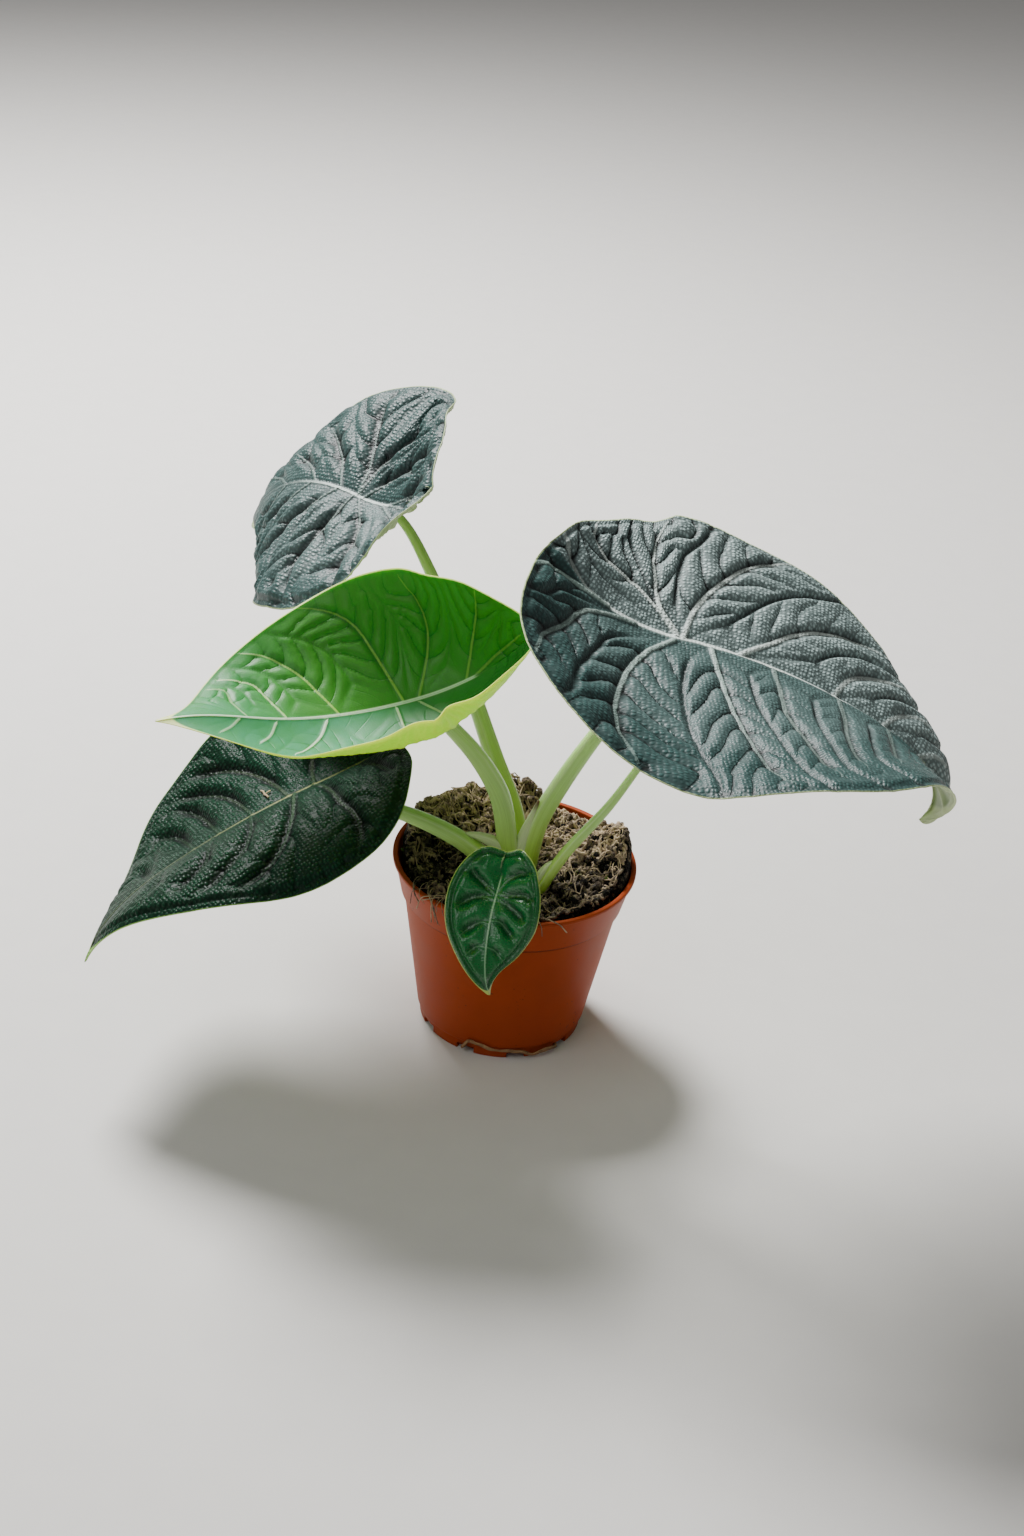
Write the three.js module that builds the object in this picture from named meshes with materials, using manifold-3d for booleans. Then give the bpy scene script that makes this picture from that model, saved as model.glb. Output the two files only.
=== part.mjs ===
// Potted alocasia: a terracotta-coloured nursery pot of soil with five grown leaves and a small hidden one.
// Millimetres, +Z up. The origin is the centre of the pot's underside; -Y is the front of the plant.

import * as THREE from 'three';
import { mergeVertices } from 'three/addons/utils/BufferGeometryUtils.js';
import Module from 'manifold-3d';

const wasm = await Module();
wasm.setup();

// Pot
const POT = {
  height: 81, lipRadius: 52.5, lipHeight: 1.6, lipStep: 1, lipSlant: 0.6, lipEdge: 0.5,
  bandHeight: 16.5, bandFootRadius: 48.1, bandStep: 0.7, bodyTopRadius: 46.8,
  footRadius: 35.8, footHeight: 5, footStep: 1.1, footFlare: 0.3, wall: 1.2, floor: 1.6, sides: 36,
};
const BAND_FOOT = POT.height - POT.bandHeight;
const SHOULDER = POT.footHeight + 2;
const NOTCHES = { count: 10, first: -40, width: 8, depth: 3, height: 3.2 };
const DRAIN_HOLES = { count: 5, radius: 3.2, circle: 20, sides: 10 };

// Soil: its heaps are smooth bumps, placed by angle (degrees) and distance from the middle
const SOIL = { level: 79.5, sides: 32, rings: 6, lump: 1.1, roundedEdge: 3, edgeDrop: 1.5, edgeShare: 0.985 };
const HEAPS = [
  { angle: 160, away: 44, height: 11, spread: 15 },
  { angle: 127, away: 43, height: 9, spread: 14 },
  { angle: 93, away: 46, height: 12, spread: 13 },
  { angle: 6, away: 47, height: 16, spread: 18 },
  { angle: -110, away: 30, height: -3, spread: 16 },
];

// Clear space between two pieces that touch on the real plant, and what flat sides add to it by a round wall
const SEAT = 0.3;
const FLAT_SIDES = 0.4;

// Crown: the short stem in the soil that all the petioles grow from
const CROWN = { x: 2, y: -6, bottom: 57, shoulder: 72, top: 79, radius: 9, base: 5.4, neck: 6.8, sides: 14 };

// Blades. length runs from the petiole's junction to the tip; width and back are shares of it, and lop is
// the share by which the left half is wider than the right. heading, rise and bank turn the blade; droop
// bends it along the midrib, ahead of the junction, near the tip and behind the junction, and hook bends the
// last of the tip; fold and curl bend the left and right halves, tipCurl adds to their curl near the tip and
// tipFold folds the left half there; all in degrees. tipRamp is where the sides begin to bend for the tip,
// as a share of the length, and how suddenly they do it.
const BLADES = {
  blade_right: {
    at: [55.4, -5, 193.7], length: 145.1, width: 0.669, lop: -0.228, back: 0.505, egg: -0.007,
    taper: 0.57, notch: 0.045, heading: 6.1, rise: -11.3, bank: -19.1, droop: [28.7, 82.6, -99.7],
    fold: [44.9, -28.8], curl: [-19, 14.9], twist: -18.7, foldTwist: 7.5,
    tipCurl: [-339.6, -4.5], tipFold: 24.7, hook: 80, tipRamp: [0.63, 1.5],
    puff: 3.2, wave: 1.1, thick: 0.9, spokes: 54, rings: 11, color: 0x5d6f6b,
  },
  blade_back: {
    at: [-82.3, 77.5, 206.4], length: 97.5, width: 0.68, lop: 0, back: 0.63, egg: 0, taper: 0.84, notch: 0.05,
    heading: 139, rise: 2, bank: -11, droop: [61, 20, -94], fold: [-18, 31], curl: [-26, -20],
    twist: -11, foldTwist: -22, tipCurl: [0, 0], tipFold: 0, hook: 0, tipRamp: [0.6, 2],
    puff: 2.8, wave: 1.0, thick: 0.9, spokes: 48, rings: 9, color: 0x66777a,
  },
  blade_centre: {
    at: [-44.8, -15, 160.8], length: 115, width: 0.51, lop: 0, back: 0.584, egg: -0.02, taper: 0.96,
    notch: 0.03,
    heading: -164, rise: -16.2, bank: -35.5, droop: [-68.8, 141, -121.7], fold: [6, 7], curl: [203, 74],
    twist: 32.8, foldTwist: -35.4, tipCurl: [343, 15], tipFold: 0, hook: 0, tipRamp: [0.6, 2],
    puff: 1, wave: 0.8, thick: 0.8, spokes: 44, rings: 8, color: 0x3d9a3f,
  },
  blade_left: {
    at: [-86, -10, 111.9], length: 121, width: 0.555, lop: 0, back: 0.35, egg: 0.25, taper: 0.91, notch: 0.04,
    heading: -148.9, rise: -15.7, bank: 22.9, droop: [18, 77, -13], fold: [10, 16], curl: [-100, 38],
    twist: 11, foldTwist: -21, tipCurl: [0, 0], tipFold: 0, hook: 0, tipRamp: [0.6, 2],
    puff: 2.8, wave: 1.0, thick: 0.9, spokes: 48, rings: 10, color: 0x1f3a2b,
  },
  blade_front: {
    at: [-6.2, -59, 97.4], length: 41, width: 0.496, lop: 0, back: 0.59, egg: 0.1, taper: 0.855, notch: 0.1,
    heading: -102.7, rise: -33.2, bank: 22.1, droop: [38, 79, -20], fold: [-4.7, 20.5], curl: [-5, 21],
    twist: -29.3, foldTwist: -45, tipCurl: [0, 0], tipFold: 0, hook: 0, tipRamp: [0.6, 2],
    puff: 0.8, wave: 0.3, thick: 0.8, spokes: 36, rings: 6, color: 0x1d5a34,
  },
  blade_hidden: {
    at: [58.8, -14, 160], length: 30, width: 0.52, lop: 0, back: 0.5, egg: 0.1, taper: 0.86, notch: 0.08,
    heading: -20, rise: -20, bank: 0, droop: [25, 30, 15], fold: [8, 8], curl: [-10, -10],
    twist: 0, foldTwist: 0, tipCurl: [0, 0], tipFold: 0, hook: 0, tipRamp: [0.6, 2],
    puff: 0.6, wave: 0.3, thick: 0.8, spokes: 22, rings: 4, color: 0x35603a,
  },
};

// Side veins of a half blade, as shares of its length: where the vein leaves the midrib, how far it
// reaches out from it, and how it leans and then sweeps towards the tip on its way.
const VEINS = [
  { start: -0.22, reach: 0.08, lean: -0.24, sweep: 0 },
  { start: -0.22, reach: 0.26, lean: -0.22, sweep: 0.08 },
  { start: 0, reach: 0.36, lean: -0.53, sweep: 0.14 },
  { start: 0, reach: 0.54, lean: -0.42, sweep: 0.34 },
  { start: 0.05, reach: 0.5, lean: 0.1, sweep: 0.26 },
  { start: 0.3, reach: 0.36, lean: -0.03, sweep: 0.36 },
  { start: 0.5, reach: 0.27, lean: 0.02, sweep: 0.2 },
  { start: 0.66, reach: 0.17, lean: 0.05, sweep: 0.1 },
  { start: 0.8, reach: 0.09, lean: 0.04, sweep: 0.04 },
];
const VEIN_STEPS = 8;
const MIDRIB_START = -0.22;

// A blade's relief: how far a vein's valley spreads (mm), how much flatter the fields get at the edge,
// and how many waves run round the edge
const VALLEY = 6.5;
const EDGE_FLATTER = 0.45;
const EDGE_WAVES = 9;

// Where along a blade its bends set in, as shares of its length ahead of the junction; crease is the width
// over which one half turns into the other, and notchSpread is how wide the notch behind spreads (radians)
const BENDS = { tip: 0.55, hook: 0.82, tipFull: 0.96, crease: 0.02, steps: 24 };
const NOTCH_SPREAD = 0.35;
const OUTLINE_STEPS = 720;

// Petioles: points from the crown to the blade, with the radius at the foot, at mid height and on top
const PETIOLES = {
  petiole_centre: {
    route: [[0.5, -9, 66], [-1.5, -9, 84], [-4, -9, 95.3], [-8.8, -10.5, 116.3], [-18.5, -12, 133.4],
      [-30.6, -13.4, 147.4], [-44.8, -15, 160.8]],
    radius: [4.9, 4.4, 2.9], color: 0xa9c98a,
  },
  petiole_right: {
    route: [[4.5, -8.6, 66], [5.2, -8.8, 86], [8.3, -8.3, 104.6], [15.4, -7.7, 122.2], [26.2, -6.9, 144],
      [41.2, -5.8, 170], [55.4, -5, 193.7]],
    radius: [5, 3.9, 2.3], color: 0x9fc07c,
  },
  petiole_back: {
    route: [[1.5, 0, 66], [0.5, 2.5, 84], [-3.2, 8, 99], [-13.6, 18, 119.3], [-34.7, 43, 159.7],
      [-48.5, 61, 182.6], [-65.5, 78, 199.5], [-82.3, 77.5, 206.4]],
    radius: [4.7, 3.4, 1.8], color: 0x9fc07c,
  },
  petiole_left: {
    route: [[-4, -13, 66], [-7, -12.5, 80], [-21.6, -11.6, 92.3], [-39.6, -11.1, 100.9], [-60, -10.7, 106.5],
      [-86, -10, 111.9]],
    radius: [4.6, 3.7, 2.3], color: 0x8fb36d,
  },
  petiole_front: {
    route: [[0, -14, 66], [-1, -18, 82], [-3, -30, 94], [-5, -46, 100], [-6.2, -59, 97.4]],
    radius: [3, 2.1, 1.3], color: 0x8fb36d,
  },
  petiole_thin: {
    route: [[9.5, -21, 68], [11.5, -24, 80], [20.1, -21.9, 97.6], [36.6, -18.8, 121.9], [48.8, -16, 144],
      [58.8, -14, 160]],
    radius: [2.7, 2.2, 1.3], color: 0x9dbd84,
  },
};
const PETIOLE_STEPS = 14;
const PETIOLE_SIDES = 8;

// Sheaths: thin pointed skins that grow beside a petiole's foot
const NEW_SHEATH = {
  route: [[3, -3.5, 66], [3.4, -3.6, 84], [6, -3.2, 94], [9.6, -2.2, 104]],
  radius: [4.2, 3.4, 0.6], color: 0xc3d6a4,
};
const LEFT_SHEATH = { route: [[-5, -9, 78], [-13, -8, 87.5], [-23, -8.4, 94]], radius: [3.6, 2.8, 0.7] };
const THIN_SHEATH = {
  route: [[11.5, -22, 78], [13.6, -20.4, 86], [18.4, -19.2, 95.5]],
  radius: [2.4, 2, 0.5],
};

// Root that comes out of one drain notch and lies along the foot of the pot to the third one
const ROOT_STEPS = 22;
const ROOT_SIDES = 5;
const ROOT = {
  route: [[-13.6, -31.8, 1.6], [-14.8, -35.4, 3.4], [-12, -36.5, 7.6], [-8, -37.6, 7.4], [-1.8, -37.9, 6],
    [5, -37.6, 5.4], [11, -36.2, 4.4], [15.4, -34.2, 2.2], [20.4, -31.9, 3.6], [25.2, -28.3, 3.2],
    [25.6, -24, 1.8]],
  radius: [0.9, 0.8, 0.7], color: 0xa8825c,
};

const rad = THREE.MathUtils.degToRad;
const mix = THREE.MathUtils.lerp;

// A closed body from rings of points: the rings are joined in order and both ends are closed to a point.
// From the ring numbered turned on, the four-sided fields are split along their other diagonal.
function loft(rings, first, last, turned = Infinity) {
  const sides = rings[0].length;
  const points = [first, ...rings.flat(), last];
  const at = (ring, side) => 1 + ring * sides + (side % sides);
  const faces = [];
  for (let side = 0; side < sides; side += 1) {
    faces.push(0, at(0, side + 1), at(0, side));
    for (let ring = 0; ring + 1 < rings.length; ring += 1) {
      if (ring < turned) {
        faces.push(at(ring, side), at(ring, side + 1), at(ring + 1, side));
        faces.push(at(ring, side + 1), at(ring + 1, side + 1), at(ring + 1, side));
      } else {
        faces.push(at(ring, side), at(ring, side + 1), at(ring + 1, side + 1));
        faces.push(at(ring, side), at(ring + 1, side + 1), at(ring + 1, side));
      }
    }
    faces.push(points.length - 1, at(rings.length - 1, side), at(rings.length - 1, side + 1));
  }
  const geometry = new THREE.BufferGeometry().setFromPoints(points);
  geometry.setIndex(faces);
  return geometry;
}

// Geometry to a solid that can be cut and joined, and back
function solid(geometry) {
  const bare = geometry.clone();
  bare.deleteAttribute('normal');
  bare.deleteAttribute('uv');
  const merged = mergeVertices(bare, 1e-4);
  const mesh = new wasm.Mesh({
    numProp: 3,
    vertProperties: new Float32Array(merged.attributes.position.array),
    triVerts: new Uint32Array(merged.index.array),
  });
  return new wasm.Manifold(mesh);
}

function geometryOf(manifold) {
  const mesh = manifold.getMesh();
  const geometry = new THREE.BufferGeometry();
  geometry.setAttribute('position', new THREE.BufferAttribute(new Float32Array(mesh.vertProperties), 3));
  geometry.setIndex(new THREE.BufferAttribute(new Uint32Array(mesh.triVerts), 1));
  return geometry;
}

// The largest of the bodies that a cut leaves, so that no scrap stays
function mainBody(manifold) {
  return manifold.decompose().reduce((best, body) => (body.volume() > best.volume() ? body : best));
}

// Pot: a turned shell with drain notches in the foot and drain holes in the floor
function potSolid() {
  const flare = POT.footRadius + POT.footFlare;
  const lipFoot = POT.height - POT.lipHeight;
  const outer = [
    [0, 0], [POT.footRadius, 0], [flare, POT.footHeight],
    [flare + POT.footStep, POT.footHeight + POT.footStep],
    [POT.bodyTopRadius, BAND_FOOT], [POT.bandFootRadius, BAND_FOOT + POT.bandStep],
    [POT.lipRadius - POT.lipStep, lipFoot - POT.lipSlant], [POT.lipRadius, lipFoot],
    [POT.lipRadius, POT.height - POT.lipEdge], [POT.lipRadius - POT.lipEdge, POT.height],
  ];
  const inner = [
    [POT.lipRadius - POT.lipStep - POT.wall, POT.height],
    [POT.bandFootRadius - POT.wall, BAND_FOOT + POT.wall], [POT.bodyTopRadius - POT.wall, BAND_FOOT],
    [POT.footRadius + POT.footStep - POT.wall, SHOULDER],
    [POT.footRadius - POT.wall, POT.footHeight], [POT.footRadius - POT.wall, POT.floor], [0, POT.floor],
  ];
  const profile = [...outer, ...inner].map(([radius, height]) => new THREE.Vector2(radius, height));
  let pot = solid(new THREE.LatheGeometry(profile, POT.sides).rotateX(Math.PI / 2));
  for (let i = 0; i < NOTCHES.count; i += 1) {
    const turn = rad(NOTCHES.first - (360 / NOTCHES.count) * i);
    const notch = new THREE.BoxGeometry(NOTCHES.depth * 2, NOTCHES.width, NOTCHES.height * 2);
    notch.translate(POT.footRadius, 0, 0).rotateZ(turn);
    pot = pot.subtract(solid(notch));
  }
  for (let i = 0; i < DRAIN_HOLES.count; i += 1) {
    const { radius, circle, sides } = DRAIN_HOLES;
    const hole = new THREE.CylinderGeometry(radius, radius, POT.floor * 4, sides);
    hole.rotateX(Math.PI / 2).translate(circle, 0, 0);
    pot = pot.subtract(solid(hole.rotateZ((Math.PI * 2 * i) / DRAIN_HOLES.count)));
  }
  return pot;
}

// Height of the soil's face: heaps, plus small lumps by formula
function soilHeight(x, y) {
  let z = SOIL.level;
  for (const heap of HEAPS) {
    const dx = x - heap.away * Math.cos(rad(heap.angle));
    const dy = y - heap.away * Math.sin(rad(heap.angle));
    z += heap.height * Math.exp(-(dx * dx + dy * dy) / (heap.spread * heap.spread));
  }
  z += SOIL.lump * Math.sin(x * 0.42 + 1.3) * Math.cos(y * 0.37 - 0.6);
  z += SOIL.lump * 0.6 * Math.sin(x * 0.9 - y * 0.7);
  return z;
}

// Radius of the soil at a height: the pot's inner wall, less the clear space
function soilRadius(z) {
  const inside = POT.wall + SEAT + FLAT_SIDES;
  if (z > BAND_FOOT) {
    const share = Math.min(1, (z - BAND_FOOT) / POT.bandHeight);
    return mix(POT.bodyTopRadius, POT.lipRadius - POT.lipStep, share) - inside;
  }
  const share = (z - SHOULDER) / (BAND_FOOT - SHOULDER);
  return mix(POT.footRadius + POT.footStep, POT.bodyTopRadius, share) - inside;
}

function soilSolid() {
  const ring = (radius, height) => Array.from({ length: SOIL.sides }, (_, side) => {
    const turn = (Math.PI * 2 * side) / SOIL.sides;
    const x = radius * Math.cos(turn);
    const y = radius * Math.sin(turn);
    return new THREE.Vector3(x, y, height ?? soilHeight(x, y));
  });
  const bottom = POT.floor + SEAT;
  const footRadius = POT.footRadius - POT.wall - SEAT - FLAT_SIDES;
  const rim = POT.height - SOIL.roundedEdge;
  const rings = [ring(footRadius, bottom), ring(footRadius, POT.footHeight)];
  rings.push(ring(soilRadius(SHOULDER), SHOULDER), ring(soilRadius(BAND_FOOT), BAND_FOOT));
  rings.push(ring(soilRadius(rim), rim - SOIL.edgeDrop));
  for (let i = SOIL.rings; i > 0; i -= 1) {
    rings.push(ring(soilRadius(rim) * SOIL.edgeShare * (i / SOIL.rings)));
  }
  const top = new THREE.Vector3(0, 0, soilHeight(0, 0));
  return solid(loft(rings, new THREE.Vector3(0, 0, bottom), top));
}

// A stem: round rings along a smooth curve, tapering between three radii; spare makes it fatter
function stemGeometry({ route, radius }, spare = 0, steps = PETIOLE_STEPS, sides = PETIOLE_SIDES) {
  const points = route.map((point) => new THREE.Vector3(...point));
  const curve = new THREE.CatmullRomCurve3(points, false, 'centripetal');
  const rings = [];
  const side = new THREE.Vector3(0, 1, 0);
  for (let i = 0; i <= steps; i += 1) {
    const share = i / steps;
    const centre = curve.getPointAt(share);
    const along = curve.getTangentAt(share);
    const across = side.clone().addScaledVector(along, -side.dot(along)).normalize();
    const other = along.clone().cross(across);
    const [foot, middle, top] = radius;
    const half = share < 0.5 ? mix(foot, middle, share * 2) : mix(middle, top, share * 2 - 1);
    rings.push(Array.from({ length: sides }, (_, k) => {
      const turn = (Math.PI * 2 * k) / sides;
      return centre.clone()
        .addScaledVector(across, (half + spare) * Math.cos(turn))
        .addScaledVector(other, (half + spare) * Math.sin(turn));
    }));
    side.copy(across);
  }
  const end = (share, way) => curve.getPointAt(share).addScaledVector(curve.getTangentAt(share), way * spare);
  return loft(rings, end(0, -1), end(1, 1));
}

// Outline of a flat blade at an angle round it, in millimetres from the junction
function bladeEdge(blade, turn) {
  const centre = (1 - blade.back) / 2;
  const half = (1 + blade.back) / 2;
  const dip = blade.notch * Math.exp(-(((Math.PI - Math.abs(turn)) / NOTCH_SPREAD) ** 2));
  const x = centre + half * Math.cos(turn) + dip;
  const y = blade.width * (1 + blade.lop * Math.sign(turn)) * Math.sin(turn)
    * (1 - blade.egg * Math.cos(turn)) * (1 - blade.taper * Math.cos(turn / 2) ** 8);
  return new THREE.Vector2(x * blade.length, y * blade.length);
}

// Distance from a point of the flat blade to its nearest vein
function veinDistance(blade, x, y) {
  const u = x / blade.length;
  const v = Math.abs(y / blade.length);
  let nearest = Math.hypot(Math.min(0, u - MIDRIB_START), v);
  for (const { start, reach, lean, sweep } of VEINS) {
    for (let i = 0; i < VEIN_STEPS; i += 1) {
      const a = i / VEIN_STEPS;
      const b = (i + 1) / VEIN_STEPS;
      const from = [start + lean * a + sweep * a * a, reach * a];
      const to = [start + lean * b + sweep * b * b, reach * b];
      const run = [to[0] - from[0], to[1] - from[1]];
      const size = run[0] * run[0] + run[1] * run[1];
      const share = THREE.MathUtils.clamp(((u - from[0]) * run[0] + (v - from[1]) * run[1]) / size, 0, 1);
      nearest = Math.min(nearest, Math.hypot(u - from[0] - run[0] * share, v - from[1] - run[1] * share));
    }
  }
  return nearest * blade.length;
}

// Where a point of the flat blade lies once the blade is bent: along its midrib, then each half
function bend(blade, x, y) {
  const u = x / blade.length;
  const v = Math.abs(y) / blade.length;
  const [ahead, tip, behind] = blade.droop.map(rad);
  const hook = rad(blade.hook);
  const drop = (s) => {
    const nearTip = (tip * Math.max(0, s - BENDS.tip) ** 2) / (1 - BENDS.tip);
    const atTip = (hook * Math.max(0, s - BENDS.hook) ** 2) / (1 - BENDS.hook) ** 2;
    return s > 0 ? ahead * s + nearTip + atTip : behind * s;
  };
  let along = 0;
  let height = 0;
  for (let i = 0; i < BENDS.steps; i += 1) {
    const angle = drop((u * (i + 0.5)) / BENDS.steps);
    along += (Math.cos(angle) * x) / BENDS.steps;
    height -= (Math.sin(angle) * x) / BENDS.steps;
  }
  const angle = drop(u);
  const leftness = 0.5 + 0.5 * Math.tanh(y / (BENDS.crease * blade.length));
  const [start, power] = blade.tipRamp;
  const nearTip = THREE.MathUtils.clamp((u - start) / (BENDS.tipFull - start), 0, 1) ** power;
  const fold = rad(mix(blade.fold[1], blade.fold[0], leftness) + blade.foldTwist * u
    + nearTip * blade.tipFold * leftness);
  const curl = rad(mix(blade.curl[1], blade.curl[0], leftness)
    + nearTip * mix(blade.tipCurl[1], blade.tipCurl[0], leftness)) || 1e-4;
  const out = ((Math.sin(fold + curl * v) - Math.sin(fold)) / curl) * blade.length * Math.sign(y);
  const lift = ((Math.cos(fold) - Math.cos(fold + curl * v)) / curl) * blade.length;
  const twist = rad(blade.twist) * Math.max(u, 0);
  const across = out * Math.cos(twist) - lift * Math.sin(twist);
  const up = out * Math.sin(twist) + lift * Math.cos(twist);
  return new THREE.Vector3(along + Math.sin(angle) * up, across, height + Math.cos(angle) * up);
}

// The bent blade's middle face with its relief: sunken veins, puffed fields between them, a waved edge
function bladePoint(blade, x, y, share) {
  const step = 0.5;
  const here = bend(blade, x, y);
  const ahead = bend(blade, x + step, y).sub(here);
  const aside = bend(blade, x, y + step).sub(here);
  const normal = ahead.cross(aside).normalize();
  const distance = veinDistance(blade, x, y);
  const field = 0.5 - Math.exp(-((distance / VALLEY) ** 2));
  const puff = blade.puff * field * (1 - EDGE_FLATTER * share ** 4);
  const wave = blade.wave * Math.sin(Math.atan2(y, x) * EDGE_WAVES + blade.length) * share ** 5;
  return { point: here.addScaledVector(normal, puff + wave), normal };
}

// Where the spokes meet the outline, evenly spaced along it
function spokeEnds(blade) {
  const outline = Array.from({ length: OUTLINE_STEPS + 1 }, (_, i) => (
    bladeEdge(blade, -Math.PI + (Math.PI * 2 * i) / OUTLINE_STEPS)));
  const walked = [0];
  for (let i = 1; i <= OUTLINE_STEPS; i += 1) {
    walked.push(walked[i - 1] + outline[i].distanceTo(outline[i - 1]));
  }
  return Array.from({ length: blade.spokes }, (_, spoke) => {
    const goal = (walked[OUTLINE_STEPS] * spoke) / blade.spokes;
    return outline[walked.findIndex((length) => length >= goal)];
  });
}

// A blade: spokes from the junction to the outline and rings between, the same on both faces
function bladeGeometry(blade, spare = 0) {
  const edge = spokeEnds(blade);
  const half = blade.thick / 2 + spare;
  const face = (way) => Array.from({ length: blade.rings }, (_, ring) => edge.map(({ x, y }) => {
    const share = (ring + 1) / blade.rings;
    const { point, normal } = bladePoint(blade, x * share, y * share, share);
    const outward = bend(blade, x, y).sub(bend(blade, x * 0.98, y * 0.98)).normalize();
    return point.addScaledVector(normal, way * half).addScaledVector(outward, spare * share);
  }));
  const middle = (way) => {
    const { point, normal } = bladePoint(blade, 0, 0, 0);
    return point.addScaledVector(normal, way * half);
  };
  const geometry = loft([...face(-1), ...face(1).reverse()], middle(-1), middle(1), blade.rings);
  geometry.rotateX(rad(blade.bank));
  geometry.rotateY(-rad(blade.rise));
  geometry.rotateZ(rad(blade.heading));
  return geometry.translate(...blade.at);
}

function colouredMesh(name, manifold, color, roughness) {
  const material = new THREE.MeshStandardMaterial({ color, roughness, metalness: 0 });
  const mesh = new THREE.Mesh(geometryOf(manifold), material);
  mesh.name = name;
  return mesh;
}

const plant = new THREE.Group();

// Blades first, because each petiole is cut to fit under them
for (const [name, blade] of Object.entries(BLADES)) {
  plant.add(colouredMesh(name, solid(bladeGeometry(blade)), blade.color, 0.55));
}
const bladeSpaces = Object.values(BLADES).map((blade) => solid(bladeGeometry(blade, SEAT)));

// Stems, each cut clear of the blades and of the stems before it
const stems = [
  ['petiole_centre', [PETIOLES.petiole_centre]],
  ['petiole_right', [PETIOLES.petiole_right]],
  ['new_sheath', [NEW_SHEATH]],
  ['petiole_back', [PETIOLES.petiole_back]],
  ['petiole_left', [PETIOLES.petiole_left, LEFT_SHEATH]],
  ['petiole_front', [PETIOLES.petiole_front]],
  ['petiole_thin', [PETIOLES.petiole_thin, THIN_SHEATH]],
];
const stemSpaces = [];
for (const [name, shapes] of stems) {
  const joined = (spare) => shapes
    .map((shape) => solid(stemGeometry(shape, spare)))
    .reduce((sum, next) => sum.add(next));
  let stem = joined(0);
  for (const space of [...bladeSpaces, ...stemSpaces]) {
    stem = stem.subtract(space);
  }
  stemSpaces.push(joined(SEAT));
  plant.add(colouredMesh(name, mainBody(stem), shapes[0].color, 0.45));
}

// Crown with a seat for each stem, and soil with a plain hole for the crown and the stems
function crownSolid(spare) {
  const profile = [
    [0, CROWN.bottom - spare], [CROWN.base + spare, CROWN.bottom - spare],
    [CROWN.radius + spare, CROWN.shoulder], [CROWN.neck + spare, CROWN.top + spare], [0, CROWN.top + spare],
  ].map(([radius, height]) => new THREE.Vector2(radius, height));
  const turned = new THREE.LatheGeometry(profile, CROWN.sides).rotateX(Math.PI / 2);
  return solid(turned.translate(CROWN.x, CROWN.y, 0));
}
let crown = crownSolid(0);
let soil = soilSolid().subtract(crownSolid(SEAT));
for (const space of stemSpaces) {
  crown = crown.subtract(space);
  soil = soil.subtract(space);
}
plant.add(colouredMesh('crown', mainBody(crown), 0xb9a97c, 0.8));
plant.add(colouredMesh('soil', mainBody(soil), 0x3a2f28, 1));

const pot = potSolid();
plant.add(colouredMesh('pot', pot, 0xa9481f, 0.45));
plant.add(colouredMesh('root_strand', solid(stemGeometry(ROOT, 0, ROOT_STEPS, ROOT_SIDES)), ROOT.color, 0.8));

export default plant;
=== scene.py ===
"""Potted alocasia: six leaves on green stalks, in a nursery pot of coir and peat."""

import math
import random
from functools import partial

import bmesh
import bpy
import numpy as np
from bpy.props import FloatProperty, FloatVectorProperty, IntProperty, PointerProperty
from mathutils import Matrix, Vector, noise


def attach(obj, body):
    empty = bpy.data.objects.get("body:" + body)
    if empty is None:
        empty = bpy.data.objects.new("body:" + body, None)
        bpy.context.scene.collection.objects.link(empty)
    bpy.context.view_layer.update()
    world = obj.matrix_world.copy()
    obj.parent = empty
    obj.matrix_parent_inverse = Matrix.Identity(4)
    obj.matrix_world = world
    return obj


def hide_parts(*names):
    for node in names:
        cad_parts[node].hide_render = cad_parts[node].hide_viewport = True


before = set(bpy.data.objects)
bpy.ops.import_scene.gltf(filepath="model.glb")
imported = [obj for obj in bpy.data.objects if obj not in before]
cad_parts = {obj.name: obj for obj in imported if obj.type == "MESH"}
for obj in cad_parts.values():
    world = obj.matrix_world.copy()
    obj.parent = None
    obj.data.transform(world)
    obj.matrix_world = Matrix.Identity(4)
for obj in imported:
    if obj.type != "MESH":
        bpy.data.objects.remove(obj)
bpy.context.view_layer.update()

bl_info = {
    "name": "Potted Alocasia",
    "version": (1, 0, 0),
    "blender": (4, 5, 0),
    "location": "3D View > Sidebar > Alocasia",
    "description": "Builds the leaves, stalks, soil and pot of a potted alocasia",
    "category": "Add Mesh",
}

MM = 0.001
FAR = 1e9

# Settings that many shader nodes share
SMOOTH = {"interpolation_type": "SMOOTHSTEP"}
RGBA = {"data_type": "RGBA"}
CLAMP = {"use_clamp": True}

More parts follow.
